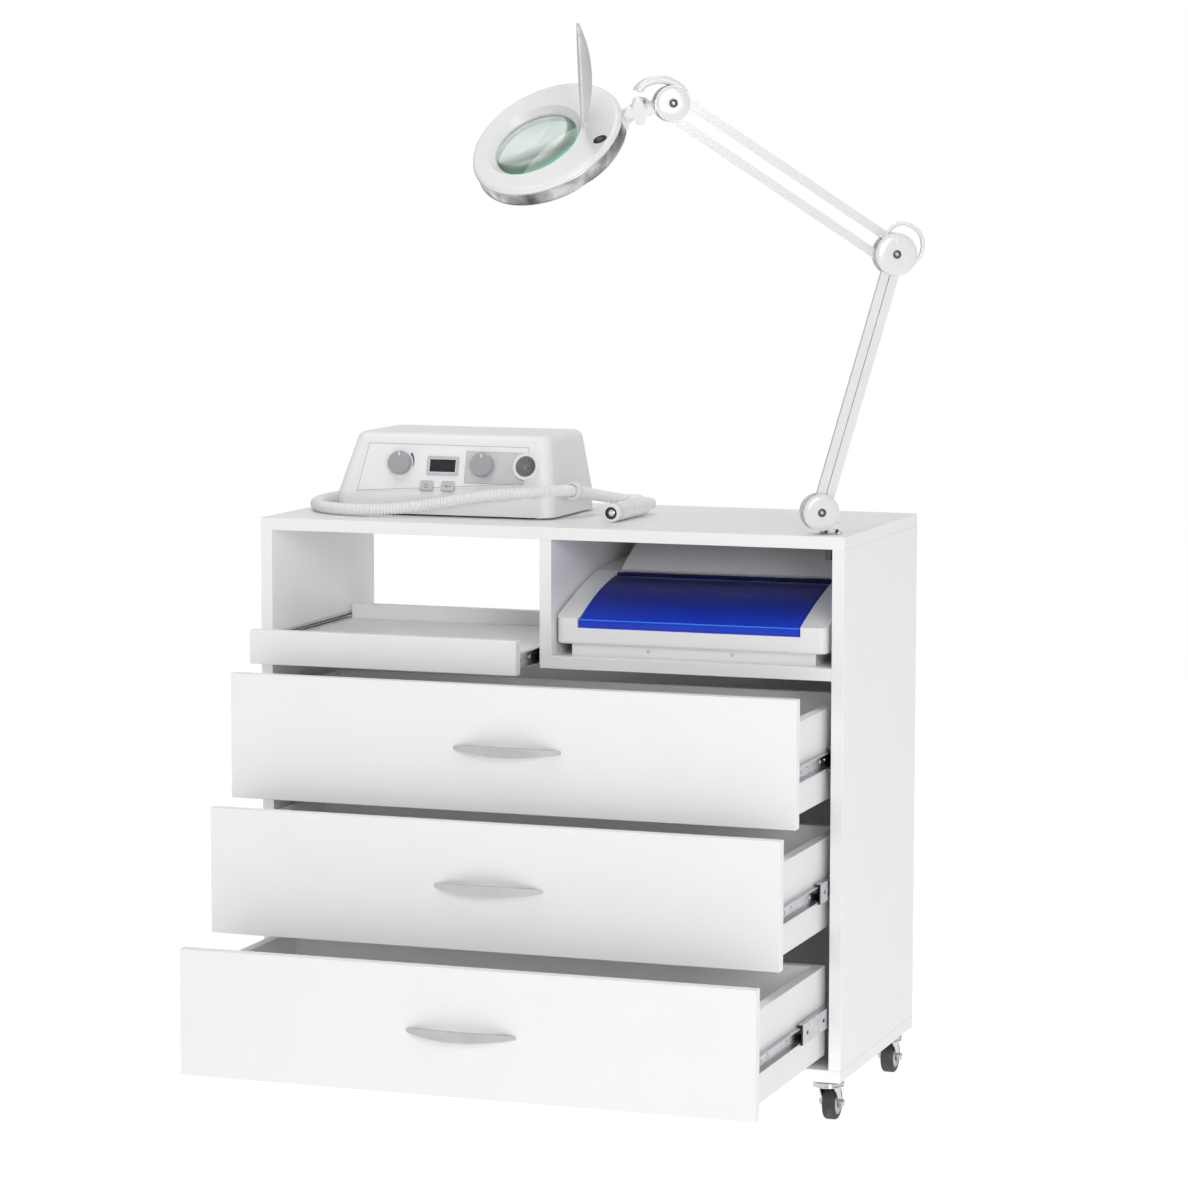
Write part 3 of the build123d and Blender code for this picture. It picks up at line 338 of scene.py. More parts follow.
looks = {
    "white_board": dict(colour=(0.90, 0.90, 0.90), drift=(0.915, 0.915, 0.915), fineScale=1400, rough=(0.34, 0.44),
                        relief=0.12, reliefDepth=0.00008, sockets={"Coat Weight": 0.12, "Coat Roughness": 0.3}),
    "drawer_grey": dict(colour=(0.88, 0.88, 0.88), drift=(0.90, 0.90, 0.90), fineScale=1100, speck=0.02,
                        rough=(0.42, 0.54), relief=0.12, reliefDepth=0.0001),
    "handle_nickel": dict(colour=(0.46, 0.46, 0.46), drift=(0.54, 0.54, 0.54), grain=(0.03, 1, 1), fineScale=2600,
                          rough=(0.12, 0.20), relief=0.18, reliefDepth=0.00006, sockets={"Metallic": 1.0}),
    "runner_zinc": dict(colour=(0.50, 0.51, 0.53), drift=(0.62, 0.63, 0.65), grain=(1, 0.05, 1), fineScale=1800,
                        broadScale=40, rough=(0.22, 0.36), relief=0.1, sockets={"Metallic": 1.0}),
    "caster_chrome": dict(colour=(0.50, 0.51, 0.52), drift=(0.60, 0.61, 0.62), fineScale=700, rough=(0.05, 0.12),
                          relief=0.02, sockets={"Metallic": 1.0}),
    "brake_steel": dict(colour=(0.50, 0.51, 0.52), drift=(0.58, 0.59, 0.60), fineScale=700, rough=(0.08, 0.16),
                        relief=0.03, sockets={"Metallic": 1.0}),
    "wheel_rubber": dict(colour=(0.030, 0.031, 0.034), drift=(0.048, 0.049, 0.053), fineScale=1600, speck=0.3,
                         rough=(0.5, 0.7), relief=0.3, reliefDepth=0.0002),
    "lamp_enamel": dict(colour=(0.74, 0.74, 0.74), drift=(0.76, 0.76, 0.76), fineScale=60, rough=(0.18, 0.24),
                        relief=0.02, reliefDepth=0.00003, sockets={"Coat Weight": 0.5, "Coat Roughness": 0.08}),
    "lamp_plastic": dict(colour=(0.80, 0.80, 0.80), drift=(0.82, 0.82, 0.82), fineScale=900, rough=(0.2, 0.28),
                         relief=0.04, reliefDepth=0.0001, sockets={"Coat Weight": 0.3, "Coat Roughness": 0.1}),
    "band_steel": dict(colour=(0.14, 0.137, 0.133), drift=(0.74, 0.73, 0.71), grain=(0.02, 0.02, 1), fineScale=2400,
                       broadScale=30, rough=(0.24, 0.4), relief=0.2, reliefDepth=0.00006,
                       sockets={"Metallic": 1.0, "Anisotropic": 0.5}),
    "lens_glass": dict(colour=(0.74, 0.83, 0.78), drift=(0.78, 0.86, 0.82), fineScale=200, rough=(0.01, 0.03),
                       relief=0.0, sockets={"Transmission Weight": 0.92, "IOR": 1.52, "Coat Weight": 0.3}),
    "switch_black": dict(colour=(0.012, 0.012, 0.013), drift=(0.02, 0.02, 0.02), fineScale=1500,
                         rough=(0.2, 0.3), relief=0.05),
    "cover_plastic": dict(colour=(0.80, 0.81, 0.82), drift=(0.84, 0.85, 0.86), fineScale=1200, rough=(0.3, 0.4),
                          relief=0.1, sockets={"Transmission Weight": 0.45, "IOR": 1.46}),
    "unit_white": dict(colour=(0.85, 0.85, 0.85), drift=(0.87, 0.87, 0.87), fineScale=1700, rough=(0.3, 0.4),
                       relief=0.12, reliefDepth=0.00008, sockets={"Coat Weight": 0.1, "Coat Roughness": 0.25}),
    "fascia_grey": dict(colour=(0.87, 0.87, 0.875), drift=(0.89, 0.89, 0.89), fineScale=2200, rough=(0.3, 0.38),
                        relief=0.1, reliefDepth=0.00005),
    "control_grey": dict(colour=(0.33, 0.34, 0.36), drift=(0.38, 0.39, 0.41), fineScale=1900, rough=(0.34, 0.46),
                         relief=0.2, reliefDepth=0.0001),
    "hose_white": dict(colour=(0.80, 0.80, 0.80), drift=(0.83, 0.83, 0.83), fineScale=1300, rough=(0.4, 0.52),
                       relief=0.08),
    "steriliser_white": dict(colour=(0.88, 0.88, 0.88), drift=(0.90, 0.90, 0.90), fineScale=1100,
                             rough=(0.14, 0.22), relief=0.05, reliefDepth=0.0001,
                             sockets={"Coat Weight": 0.4, "Coat Roughness": 0.06}),
    "visor_blue": dict(colour=(0.002, 0.055, 0.80), drift=(0.003, 0.07, 0.88), fineScale=700, rough=(0.04, 0.09),
                       relief=0.01, sockets={"Transmission Weight": 0.35, "IOR": 1.45, "Specular IOR Level": 0.3}),
    # painted highlight: a lighter, glossier blue for the bead along the visor's lip
    "visor_highlight_blue": dict(colour=(0.03, 0.22, 0.95), drift=(0.05, 0.30, 1.0), fineScale=700, rough=(0.05, 0.1),
                       relief=0.01, sockets={"Specular IOR Level": 0.6}),
    "black_plastic": dict(colour=(0.018, 0.018, 0.02), drift=(0.03, 0.03, 0.032), fineScale=1500, speck=0.2,
                          rough=(0.38, 0.52), relief=0.2),
    "dark_steel": dict(colour=(0.10, 0.10, 0.11), drift=(0.16, 0.16, 0.17), fineScale=1500, rough=(0.28, 0.4),
                       relief=0.1, sockets={"Metallic": 0.9}),
    "bright_steel": dict(colour=(0.62, 0.62, 0.63), drift=(0.70, 0.70, 0.71), fineScale=1500, rough=(0.14, 0.24),
                         relief=0.06, sockets={"Metallic": 1.0}),
    "hub_grey": dict(colour=(0.50, 0.50, 0.51), drift=(0.56, 0.56, 0.57), fineScale=1500, rough=(0.4, 0.5),
                     relief=0.15),
    "print_grey": dict(colour=(0.36, 0.37, 0.39), drift=(0.40, 0.41, 0.43), fineScale=2500, rough=(0.45, 0.5),
                       relief=0.05),
    "brushed_patch": dict(colour=(0.62, 0.62, 0.62), drift=(0.74, 0.74, 0.74), grain=(0.03, 1, 1), fineScale=2600,
                          rough=(0.3, 0.44), relief=0.15, reliefDepth=0.00005, sockets={"Metallic": 0.5}),
    "display_dark": dict(colour=(0.012, 0.014, 0.018), drift=(0.018, 0.02, 0.026), fineScale=600,
                         rough=(0.06, 0.1), relief=0.0, sockets={"Coat Weight": 0.6, "Coat Roughness": 0.03}),
    "tube_glass": dict(colour=(0.78, 0.80, 0.92), drift=(0.82, 0.84, 0.95), fineScale=500, rough=(0.06, 0.1),
                       relief=0.0, sockets={"Coat Weight": 0.5}),
    "holder_grey": dict(colour=(0.13, 0.135, 0.14), drift=(0.20, 0.205, 0.21), fineScale=1500, rough=(0.3, 0.4),
                        relief=0.1),
    "button_grey": dict(colour=(0.52, 0.53, 0.54), drift=(0.57, 0.58, 0.59), fineScale=1900, rough=(0.36, 0.46),
                        relief=0.12, reliefDepth=0.00006),
    "lens_ring": dict(colour=(0.60, 0.62, 0.62), drift=(0.70, 0.72, 0.72), fineScale=1200, rough=(0.2, 0.3),
                      relief=0.05),
}
finishes = {}
for finishName, finishLook in looks.items():
    finishes[finishName] = Finish(finishName, finishLook, headTurn if finishName == "band_steel" else None)
# painted shade: the blue visor darkens from its front lip towards the back
paintShadeAlong(finishes["visor_blue"], "Y", -0.175, -0.02, (0.12, 0.10, 0.16))
wear(finishes["wheel_rubber"], (0.10, 0.10, 0.10))
wear(finishes["runner_zinc"], (0.52, 0.54, 0.56), amount=0.4)
ownFinish = {"power_button": "button_grey", "direction_button": "button_grey", "bay_divider_and_shelf": "white_board"}
slotOf = {part["node"]: part["material_slot"] for part in frame["record"]["subparts"]}
for nodeName, node in nodes.items():
    for materialSlot in node.material_slots:
        materialSlot.material = finishes[ownFinish.get(nodeName, slotOf[nodeName])].material
print("materials made:", len(finishes))


def finish(name):
    return finishes[name].material


# camera and studio
studio = {
    "cameraSpot": (2.00636, -5.70373, 1.40834),
    "cameraRight": (0.94355, 0.33124, 0.00112),
    "cameraUp": (-0.03767, 0.10395, 0.99387),
    "lens": 123.06,
    "floorSize": 18.0,
    "topPower": 46.0,
    "frontPower": 92.0,
    "rimPower": 10.0,
    "skyStrength": 0.40,
    "mirrorStrength": 1.0,
    "floorGlow": 0.9,
}


def makeStudio():
    right = Vector(studio["cameraRight"])
    up = Vector(studio["cameraUp"])
    place = Matrix((right, up, right.cross(up))).transposed().to_4x4()
    place.translation = studio["cameraSpot"]
    camera = bpy.data.cameras.new("camera")
    camera.lens = studio["lens"]
    camera.sensor_width = 36
    camera.clip_end = 100
    holder = bpy.data.objects.new("camera", camera)
    bpy.context.collection.objects.link(holder)
    holder.matrix_world = place
    bpy.context.scene.camera = holder

    half = studio["floorSize"] / 2
    mesh = bpy.data.meshes.new("floor")
    mesh.from_pydata([(-half, -half, 0), (half, -half, 0), (half, half, 0), (-half, half, 0)], [], [(0, 1, 2, 3)])
    paper = Finish("floor_white", dict(colour=(0.26, 0.26, 0.26), drift=(0.27, 0.27, 0.27), rough=(0.7, 0.8),
                                       relief=0.0, sockets={"Emission Color": (1, 1, 1, 1), "Specular IOR Level": 0.0,
                                                            "Emission Strength": studio["floorGlow"]}))
    mesh.materials.append(paper.material)
    floor = bpy.data.objects.new("floor", mesh)
    bpy.context.collection.objects.link(floor)

    for name, spot, aim, size, power in (
            ("top", (-0.4, -0.8, 4.2), (0, 0, 0.8), 3.0, studio["topPower"]),
            ("front", (3.0, -4.7, 2.0), (0, 0, 0.5), 2.2, studio["frontPower"]),
            ("rim", (1.2, 3.4, 3.4), (0, 0, 0.9), 2.4, studio["rimPower"])):
        light = bpy.data.lights.new(name, "AREA")
        light.shape = "DISK"
        light.size = size
        light.energy = power
        lamp = bpy.data.objects.new(name, light)
        bpy.context.collection.objects.link(lamp)
        lamp.matrix_world = axisFrame(spot, Vector(spot) - Vector(aim))

    world = bpy.data.worlds.new("studio")
    bpy.context.scene.world = world
    world.use_nodes = True
    tree = world.node_tree
    background = tree.nodes["Background"]          # lights the object evenly
    background.inputs["Color"].default_value = (1, 1, 1, 1)
    background.inputs["Strength"].default_value = studio["skyStrength"]
    coordinates = tree.nodes.new("ShaderNodeTexCoord")
    split = tree.nodes.new("ShaderNodeSeparateXYZ")
    tree.links.new(coordinates.outputs["Generated"], split.inputs["Vector"])
    bands = tree.nodes.new("ShaderNodeValToRGB")   # light boxes and dark gaps, for what shines
    stops = [(0.0, 0.95), (0.08, 0.25), (0.16, 0.98), (0.34, 1.0), (0.42, 0.35), (0.55, 0.9), (0.8, 1.0)]
    while len(bands.color_ramp.elements) < len(stops):
        bands.color_ramp.elements.new(0.5)
    for element, (spot, shade) in zip(bands.color_ramp.elements, stops):
        element.position = spot
        element.color = (shade, shade, shade, 1)
    tree.links.new(split.outputs["Z"], bands.inputs["Fac"])
    sides = tree.nodes.new("ShaderNodeTexNoise")
    sides.inputs["Scale"].default_value = 2.6
    sides.inputs["Detail"].default_value = 1.0
    tree.links.new(coordinates.outputs["Generated"], sides.inputs["Vector"])
    patches = tree.nodes.new("ShaderNodeValToRGB")
    patches.color_ramp.elements[0].position = 0.42
    patches.color_ramp.elements[0].color = (0.45, 0.45, 0.46, 1)
    patches.color_ramp.elements[1].position = 0.56
    patches.color_ramp.elements[1].color = (1, 1, 1, 1)
    tree.links.new(sides.outputs["Fac"], patches.inputs["Fac"])
    blendBoxes = tree.nodes.new("ShaderNodeMix")
    blendBoxes.data_type = "RGBA"
    blendBoxes.blend_type = "MULTIPLY"
    blendBoxes.inputs["Factor"].default_value = 1.0
    tree.links.new(bands.outputs["Color"], blendBoxes.inputs["A"])
    tree.links.new(patches.outputs["Color"], blendBoxes.inputs["B"])
    mirrored = tree.nodes.new("ShaderNodeBackground")
    mirrored.inputs["Strength"].default_value = studio["mirrorStrength"]
    tree.links.new(blendBoxes.outputs["Result"], mirrored.inputs["Color"])
    seen = tree.nodes.new("ShaderNodeBackground")
    seen.inputs["Color"].default_value = (1, 1, 1, 1)
    seen.inputs["Strength"].default_value = 1.0
    rays = tree.nodes.new("ShaderNodeLightPath")
    shiny = tree.nodes.new("ShaderNodeMixShader")
    tree.links.new(rays.outputs["Is Glossy Ray"], shiny.inputs["Fac"])
    tree.links.new(background.outputs["Background"], shiny.inputs[1])
    tree.links.new(mirrored.outputs["Background"], shiny.inputs[2])
    mix = tree.nodes.new("ShaderNodeMixShader")
    tree.links.new(rays.outputs["Is Camera Ray"], mix.inputs["Fac"])
    tree.links.new(shiny.outputs["Shader"], mix.inputs[1])
    tree.links.new(seen.outputs["Background"], mix.inputs[2])
    tree.links.new(mix.outputs["Shader"], tree.nodes["World Output"].inputs["Surface"])
    bpy.context.scene.view_settings.view_transform = "Standard"


makeStudio()
print("studio made")

# suction hose, ribbed, from the unit's side round to the handpiece
hoseLook = {
    "corner": (-372, -100, 854),    # the unit's front left corner on the top
    "diameter": 18.0,
    "ribPitch": 5.0,
    "ribDepth": 1.7,
    "points": [
        (82, 250, 36), (-13, 250, 20), (-66, 190, 9.6), (-66, 70, 9.6), (-18, -12, 9.6), (57, -40, 9.6),
        (132, -21, 14), (242, -15, 35), (310, -21, 42), (358, 34, 42), (361, 78, 38), (381, 130, 26), (434, 148, 18)],
}


def makeHose():
    corner = Vector(hoseLook["corner"])
    points = [(corner + Vector(point)) / 1000 for point in hoseLook["points"]]
    pitch = hoseLook["ribPitch"] / 1000
    path = alongRoute(points, pitch / 6)
    radius = hoseLook["diameter"] / 2000
    depth = hoseLook["ribDepth"] / 1000

    def radiusAt(run):
        wave = math.cos(2 * math.pi * run / pitch)
        return radius - depth * (0.5 - 0.5 * math.copysign(abs(wave) ** 0.6, wave))

    hose = addPiece("ribbed_hose", tubeMesh("ribbed_hose", path, radiusAt), finish("hose_white"), "cabinet",
                    smooth=60)
    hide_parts("suction_hose")
    length = sum((b - a).length for a, b in zip(path, path[1:]))
    return hose, path, points[0], length


hosePiece, hosePath, hoseExit, hoseLength = makeHose()
print("hose made, metres:", round(hoseLength, 3))


def lathePiece(name, place, profile, finishName, body, turns=40, closed=False, smooth=35):
    shape = bmesh.new()
    lathe(shape, place, profile, turns, closed)
    return addPiece(name, fromBmesh(name, shape), finish(finishName), body, smooth)


def boxesPiece(name, boxes, finishName, body, edge=0.0004):
    # several eased boxes in one mesh, each as (centre, size) or (place matrix, size)
    shape = bmesh.new()
    for centre, size in boxes:
        place = centre if isinstance(centre, Matrix) else Matrix.Translation(centre)
        softBox(shape, place, size, min(edge, min(size) * 0.3))
    return addPiece(name, fromBmesh(name, shape), finish(finishName), body)


def roundedLoop(width, height, corner, steps=6):
    spots = []
    for turn, (sx, sy) in enumerate(((1, 1), (-1, 1), (-1, -1), (1, -1))):
        for step in range(steps + 1):
            angle = math.pi / 2 * (turn + step / steps)
            spots.append((sx * (width / 2 - corner) + corner * math.cos(angle),
                          sy * (height / 2 - corner) + corner * math.sin(angle)))
    return spots


def stackLoops(shape, place, loops, ends=(True, True)):
    # joins rounded rectangles (width, height, corner, out) into one skin
    rings = []
    for width, height, corner, out in loops:
        rings.append([shape.verts.new(place @ Vector((x, y, out))) for x, y in roundedLoop(width, height, corner)])
    for low, high in zip(rings, rings[1:]):
        for i in range(len(low)):
            following = (i + 1) % len(low)
            shape.faces.new((low[i], low[following], high[following], high[i]))
    if ends[0]:
        shape.faces.new(rings[0][::-1])
    if ends[1]:
        shape.faces.new(rings[-1])


# front of the drill unit
unitLook = {
    "dialAt": 103.0, "dialHeight": 77.0, "lean": 24.0 / 91.0,
    "outline": [(304, 93), (304, 105), (49, 106), (36, 36), (299, 51.5), (299, 60)],
    "outlineRadius": 0.5,
    "dials": {"suction_dial": (103, 1.2), "speed_dial": (234, 1.6)},
    "dialRadius": 17.0, "dialRibs": 30,
    "display": (170, 75, 49.6, 27.6),
    "patch": (206, 51, 300, 97),
    "holder": (302, 77, 21.0),
    "buttons": {"power_button": 147, "direction_button": 181},
}
dialSpot, faceOut = jointSpot("suction_dial_turn")
faceUp = faceOut.cross(Vector((1, 0, 0)))
faceStart = dialSpot - faceOut * 0.005


def onFace(across, height, out):
    rise = (height - unitLook["dialHeight"]) * math.hypot(1, unitLook["lean"])
    return faceStart + (Vector((across - unitLook["dialAt"], 0, 0)) + faceUp * rise + faceOut * out) / 1000


def facePlace(across, height, out):
    return axisFrame(onFace(across, height, out), faceOut)


def flatShape(name, outline, out, thickness, finishName, body):
    # a thin sheet on the leaning front, from points given across and up
    shape = bmesh.new()
    low = [shape.verts.new(onFace(x, y, out)) for x, y in outline]
    high = [shape.verts.new(onFace(x, y, out + thickness)) for x, y in outline]
    shape.faces.new(high)
    for i in range(len(low)):
        following = (i + 1) % len(low)
        shape.faces.new((low[i], low[following], high[following], high[i]))
    bmesh.ops.triangulate(shape, faces=[face for face in shape.faces if len(face.verts) > 4])
    return addPiece(name, fromBmesh(name, shape), finish(finishName), body, smooth=20)


def makeUnitFront():
    outline = [onFace(x, y, 1.25) for x, y in unitLook["outline"]]
    wires("fascia_outline", [outline], unitLook["outlineRadius"] / 1000, finish("print_grey"), "cabinet")

    x0, y0, x1, y1 = unitLook["patch"]
    hx, hy, hr = unitLook["holder"]
    patch = [(x0, y0), (x1, y0)]
    low = math.degrees(math.asin((x1 - hx) / hr))
    for step in range(13):
        angle = math.radians(-90 + low - step * (180 + low - 18) / 12)
        spot = (hx + hr * math.cos(angle), hy + hr * math.sin(angle))
        if y0 < spot[1] < y1:
            patch.append(spot)
    patch += [(hx - math.sqrt(hr * hr - (y1 - hy) ** 2), y1), (x0, y1)]
    flatShape("brushed_patch", patch, 1.62, 0.15, "brushed_patch", "cabinet")
    wires("patch_outline", [[onFace(x, y, 1.8) for x, y in patch + patch[:1]]], 0.00035, finish("print_grey"),
          "cabinet")

    for name, (across, rest) in unitLook["dials"].items():
        # a mark beside the dial that widens as it climbs
        turns = range(-14, 50, 4)
        ring = [(turn, 19.2) for turn in turns]
        ring += [(turn, 19.8 + 3.0 * index / len(turns)) for index, turn in enumerate(turns)][::-1]
        points = [(across + radius * math.cos(math.radians(turn)), 77 + radius * math.sin(math.radians(turn)))
                  for turn, radius in ring]
        flatShape(name + "_scale", points, rest + 0.02, 0.14, "dark_steel", "cabinet")
        tick = [(across - 21.5, 72.5), (across - 18.8, 74.5), (across - 18.8, 72.0)]
        flatShape(name + "_tick", tick, rest + 0.02, 0.14, "dark_steel", "cabinet")

        shape = bmesh.new()
        place = facePlace(across, 77, 0)
        ribs = unitLook["dialRibs"]
        rings = []
        for out, grow in ((rest + 1.6, 0.1), (rest + 2.2, 0.5), (rest + 10.4, 0.5), (rest + 11.0, 0.0)):
            ring = []
            for step in range(ribs * 4):
                wave = 0.5 + 0.5 * math.cos(2 * math.pi * step / 4)
                radius = (unitLook["dialRadius"] + grow * wave) / 1000 + 0.00005
                angle = 2 * math.pi * step / (ribs * 4)
                ring.append(shape.verts.new(place @ Vector((radius * math.cos(angle), radius * math.sin(angle),
                                                            out / 1000))))
            rings.append(ring)
        for lowRing, highRing in zip(rings, rings[1:]):
            for i in range(len(lowRing)):
                following = (i + 1) % len(lowRing)
                shape.faces.new((lowRing[i], lowRing[following], highRing[following], highRing[i]))
        addPiece(name + "_grip", fromBmesh(name + "_grip", shape), finish("control_grey"), name, 50)
        pointer = facePlace(across, 77 + 12.5, rest + 12.6)
        boxesPiece(name + "_pointer", [(pointer, (0.0022, 0.006, 0.0004))], "unit_white", name,
                   0.0001)

    across, height, width, tall = unitLook["display"]
    place = facePlace(across, height, 0)
    shape = bmesh.new()
    stackLoops(shape, place, [(w / 1000, h / 1000, c / 1000, o / 1000) for w, h, c, o in (
        (width + 1, tall + 1, 2.4, 1.25), (width + 1, tall + 1, 2.4, 2.6), (width, tall, 2.0, 3.5),
        (width - 7, tall - 7, 0.8, 3.5), (width - 8.4, tall - 8.4, 0.6, 2.4))], ends=(False, False))
    addPiece("display_frame", fromBmesh("display_frame", shape), finish("button_grey"), "cabinet")
    shape = bmesh.new()
    stackLoops(shape, place, [((width - 8.2) / 1000, (tall - 8.2) / 1000, 0.0006, 0.0023),
                              ((width - 8.2) / 1000, (tall - 8.2) / 1000, 0.0006, 0.0027)])
    addPiece("display_glass", fromBmesh("display_glass", shape), finish("display_dark"), "cabinet")

    for name, across in unitLook["buttons"].items():
        frameLoop = [onFace(across + x, 45 + y, 1.3) for x, y in roundedLoop(21.5, 15, 2.6)]
        wires(name + "_rim", [frameLoop + frameLoop[:1]], 0.0003, finish("print_grey"), "cabinet")
        if name == "power_button":
            arc = [(3.0 * math.sin(math.radians(a)), 3.0 * math.cos(math.radians(a))) for a in range(35, 330, 14)]
            marks = [arc, [(0, 1.0), (0, 4.2)]]
        else:
            marks = [[(6, 0), (-2, 0)], [(-1.2, 2.2), (-5.5, 0), (-1.2, -2.2), (-1.2, 2.2)]]
        runs = [[onFace(across + x, 45 + y, 4.45) for x, y in mark] for mark in marks]
        wires(name + "_mark", runs, 0.00035, finish("dark_steel"), name)

    # soft mouth of the handpiece holder
    mouth = facePlace(hx, hy, 0)
    lathePiece("holder_mouth", mouth, [(0.01535, 0.0045), (0.0150, 0.0020), (0.0085, -0.0045), (0.0016, -0.0075),
                                       (0.0, -0.0075)], "holder_grey", "cabinet")
    ribs = []
    for turn in range(0, 360, 15):
        spot = Vector((math.cos(math.radians(turn)), math.sin(math.radians(turn)), 0))
        ribs.append([mouth @ (spot * 0.0148 + Vector((0, 0, 0.0021))),
                     mouth @ (spot * 0.0030 - Vector((0, 0, 0.0069)))])
    wires("holder_ribs", ribs, 0.00042, finish("control_grey"), "cabinet")
    lathePiece("holder_ring", mouth, [(0.0158, 0.0050), (0.0166, 0.0062), (0.0196, 0.0060), (0.0207, 0.0048)],
               "lamp_plastic", "cabinet")
    lo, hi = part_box("drill_housing")
    for i, (x, y) in enumerate(((-0.3445, -0.0745), (-0.0595, -0.0745), (-0.3445, 0.0725), (-0.0595, 0.0725))):
        lathePiece("unit_foot_" + str(i + 1), axisFrame((x, y, lo.z), (0, 0, 1)),
                   [(0.0085, 0.0), (0.0098, 0.0006), (0.0098, 0.0030)], "black_plastic", "cabinet")


makeUnitFront()
print("drill unit front made")

# handpiece, with its cuffs
handpieceLook = {
    "front": (438, 0, 13.8), "back": (445, 128, 15.0),
    "grooves": [10.0, 14.0, 18.0, 62.0], "radius": 13.5,
}


def makeHandpiece():
    corner = Vector(hoseLook["corner"])
    front = (corner + Vector(handpieceLook["front"])) / 1000
    back = (corner + Vector(handpieceLook["back"])) / 1000
    place = axisFrame(front, back - front)
    radius = handpieceLook["radius"] / 1000
    pieces = [nodes["drill_handpiece"]]
    pieces.append(lathePiece("nose_ring", place, [(0.0058, 0.0008), (0.0062, -0.0004), (0.0079, -0.0006),
                                                  (0.0096, 0.0002), (0.0098, 0.0012)], "black_plastic", "cabinet"))
    pieces.append(lathePiece("nose_collet", place, [(0.0, 0.0042), (0.0012, 0.0042), (0.0016, 0.0006),
                                                    (0.0040, 0.0002), (0.0056, 0.0010)], "bright_steel", "cabinet"))
    for i, run in enumerate(handpieceLook["grooves"]):
        at = run / 1000
        pieces.append(lathePiece("grip_ring_" + str(i + 1), place,
                                 [(radius - 0.0004, at - 0.0006), (radius + 0.00015, at - 0.0003),
                                  (radius + 0.00015, at + 0.0003), (radius - 0.0004, at + 0.0006)],
                                 "hub_grey", "cabinet"))
    for name, spot, ahead in (("port_cuff", hosePath[0], hosePath[8] - hosePath[0]),
                              ("handpiece_cuff", hosePath[-1], hosePath[-9] - hosePath[-1])):
        cuff = axisFrame(spot, ahead)
        pieces.append(lathePiece(name, cuff, [(0.0088, -0.0015), (0.0104, -0.0010), (0.0106, 0.0060),
                                              (0.0100, 0.0120), (0.0094, 0.0170), (0.0086, 0.0174)],
                                 "unit_white", "cabinet"))
    return pieces


handpiecePieces = makeHandpiece()

print("handpiece made")

# magnifier lamp
lampLook = {
    "screwRadius": 4.2, "screwOut": 15.6,
    "cable": 3.0,
    # painted reflection and painted shade in the lens glass: where the rings centre, and their colours
    "paintedGlowShift": (-10.0, 22.0),
    "paintedGlowRings": [(0.055, (1, 1, 1)), (0.058, (0.32, 0.42, 0.34)), (0.066, (0.10, 0.20, 0.13)),
                  (0.074, (0.05, 0.34, 0.20)), (0.078, (0.10, 0.95, 0.62)), (0.083, (0.04, 0.25, 0.16))],
    "wristArch": [(18, 14), (2, 33), (-30, 32), (-45, 24), (-48, 17)],
    "archRadius": 5.6,
    "loop": [(-14, 18), (-10, 36), (12, 46), (36, 34), (43, 12), (36, -10), (20, -16)],
    "lensShift": 17.0, "lensHeight": 5.0,
}
lowerMain, armAxis = jointSpot("lower_arm_lift")
lowerSecond = jointSpot("lower_arm_second_lift")[0]
upperMain = jointSpot("upper_arm_lift")[0]
upperSecond = jointSpot("upper_arm_second_lift")[0]
baseCentre = (lowerMain + lowerSecond) / 2
elbowCentre = (upperMain + upperSecond) / 2
wristCentre = jointSpot("wrist_level")[0] - (upperMain - elbowCentre)
armRight = Vector((0, 0, 1)).cross(armAxis)
headMiddle = sum(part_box("head_band"), Vector()) / 2


def inArms(centre, x, z, out=0.0):
    return centre + (armRight * x + Vector((0, 0, z)) + armAxis * out) / 1000


def onHead(x, y, z):
    return headMiddle + (towardArm * x + headAxis * y + headNormal * z) / 1000


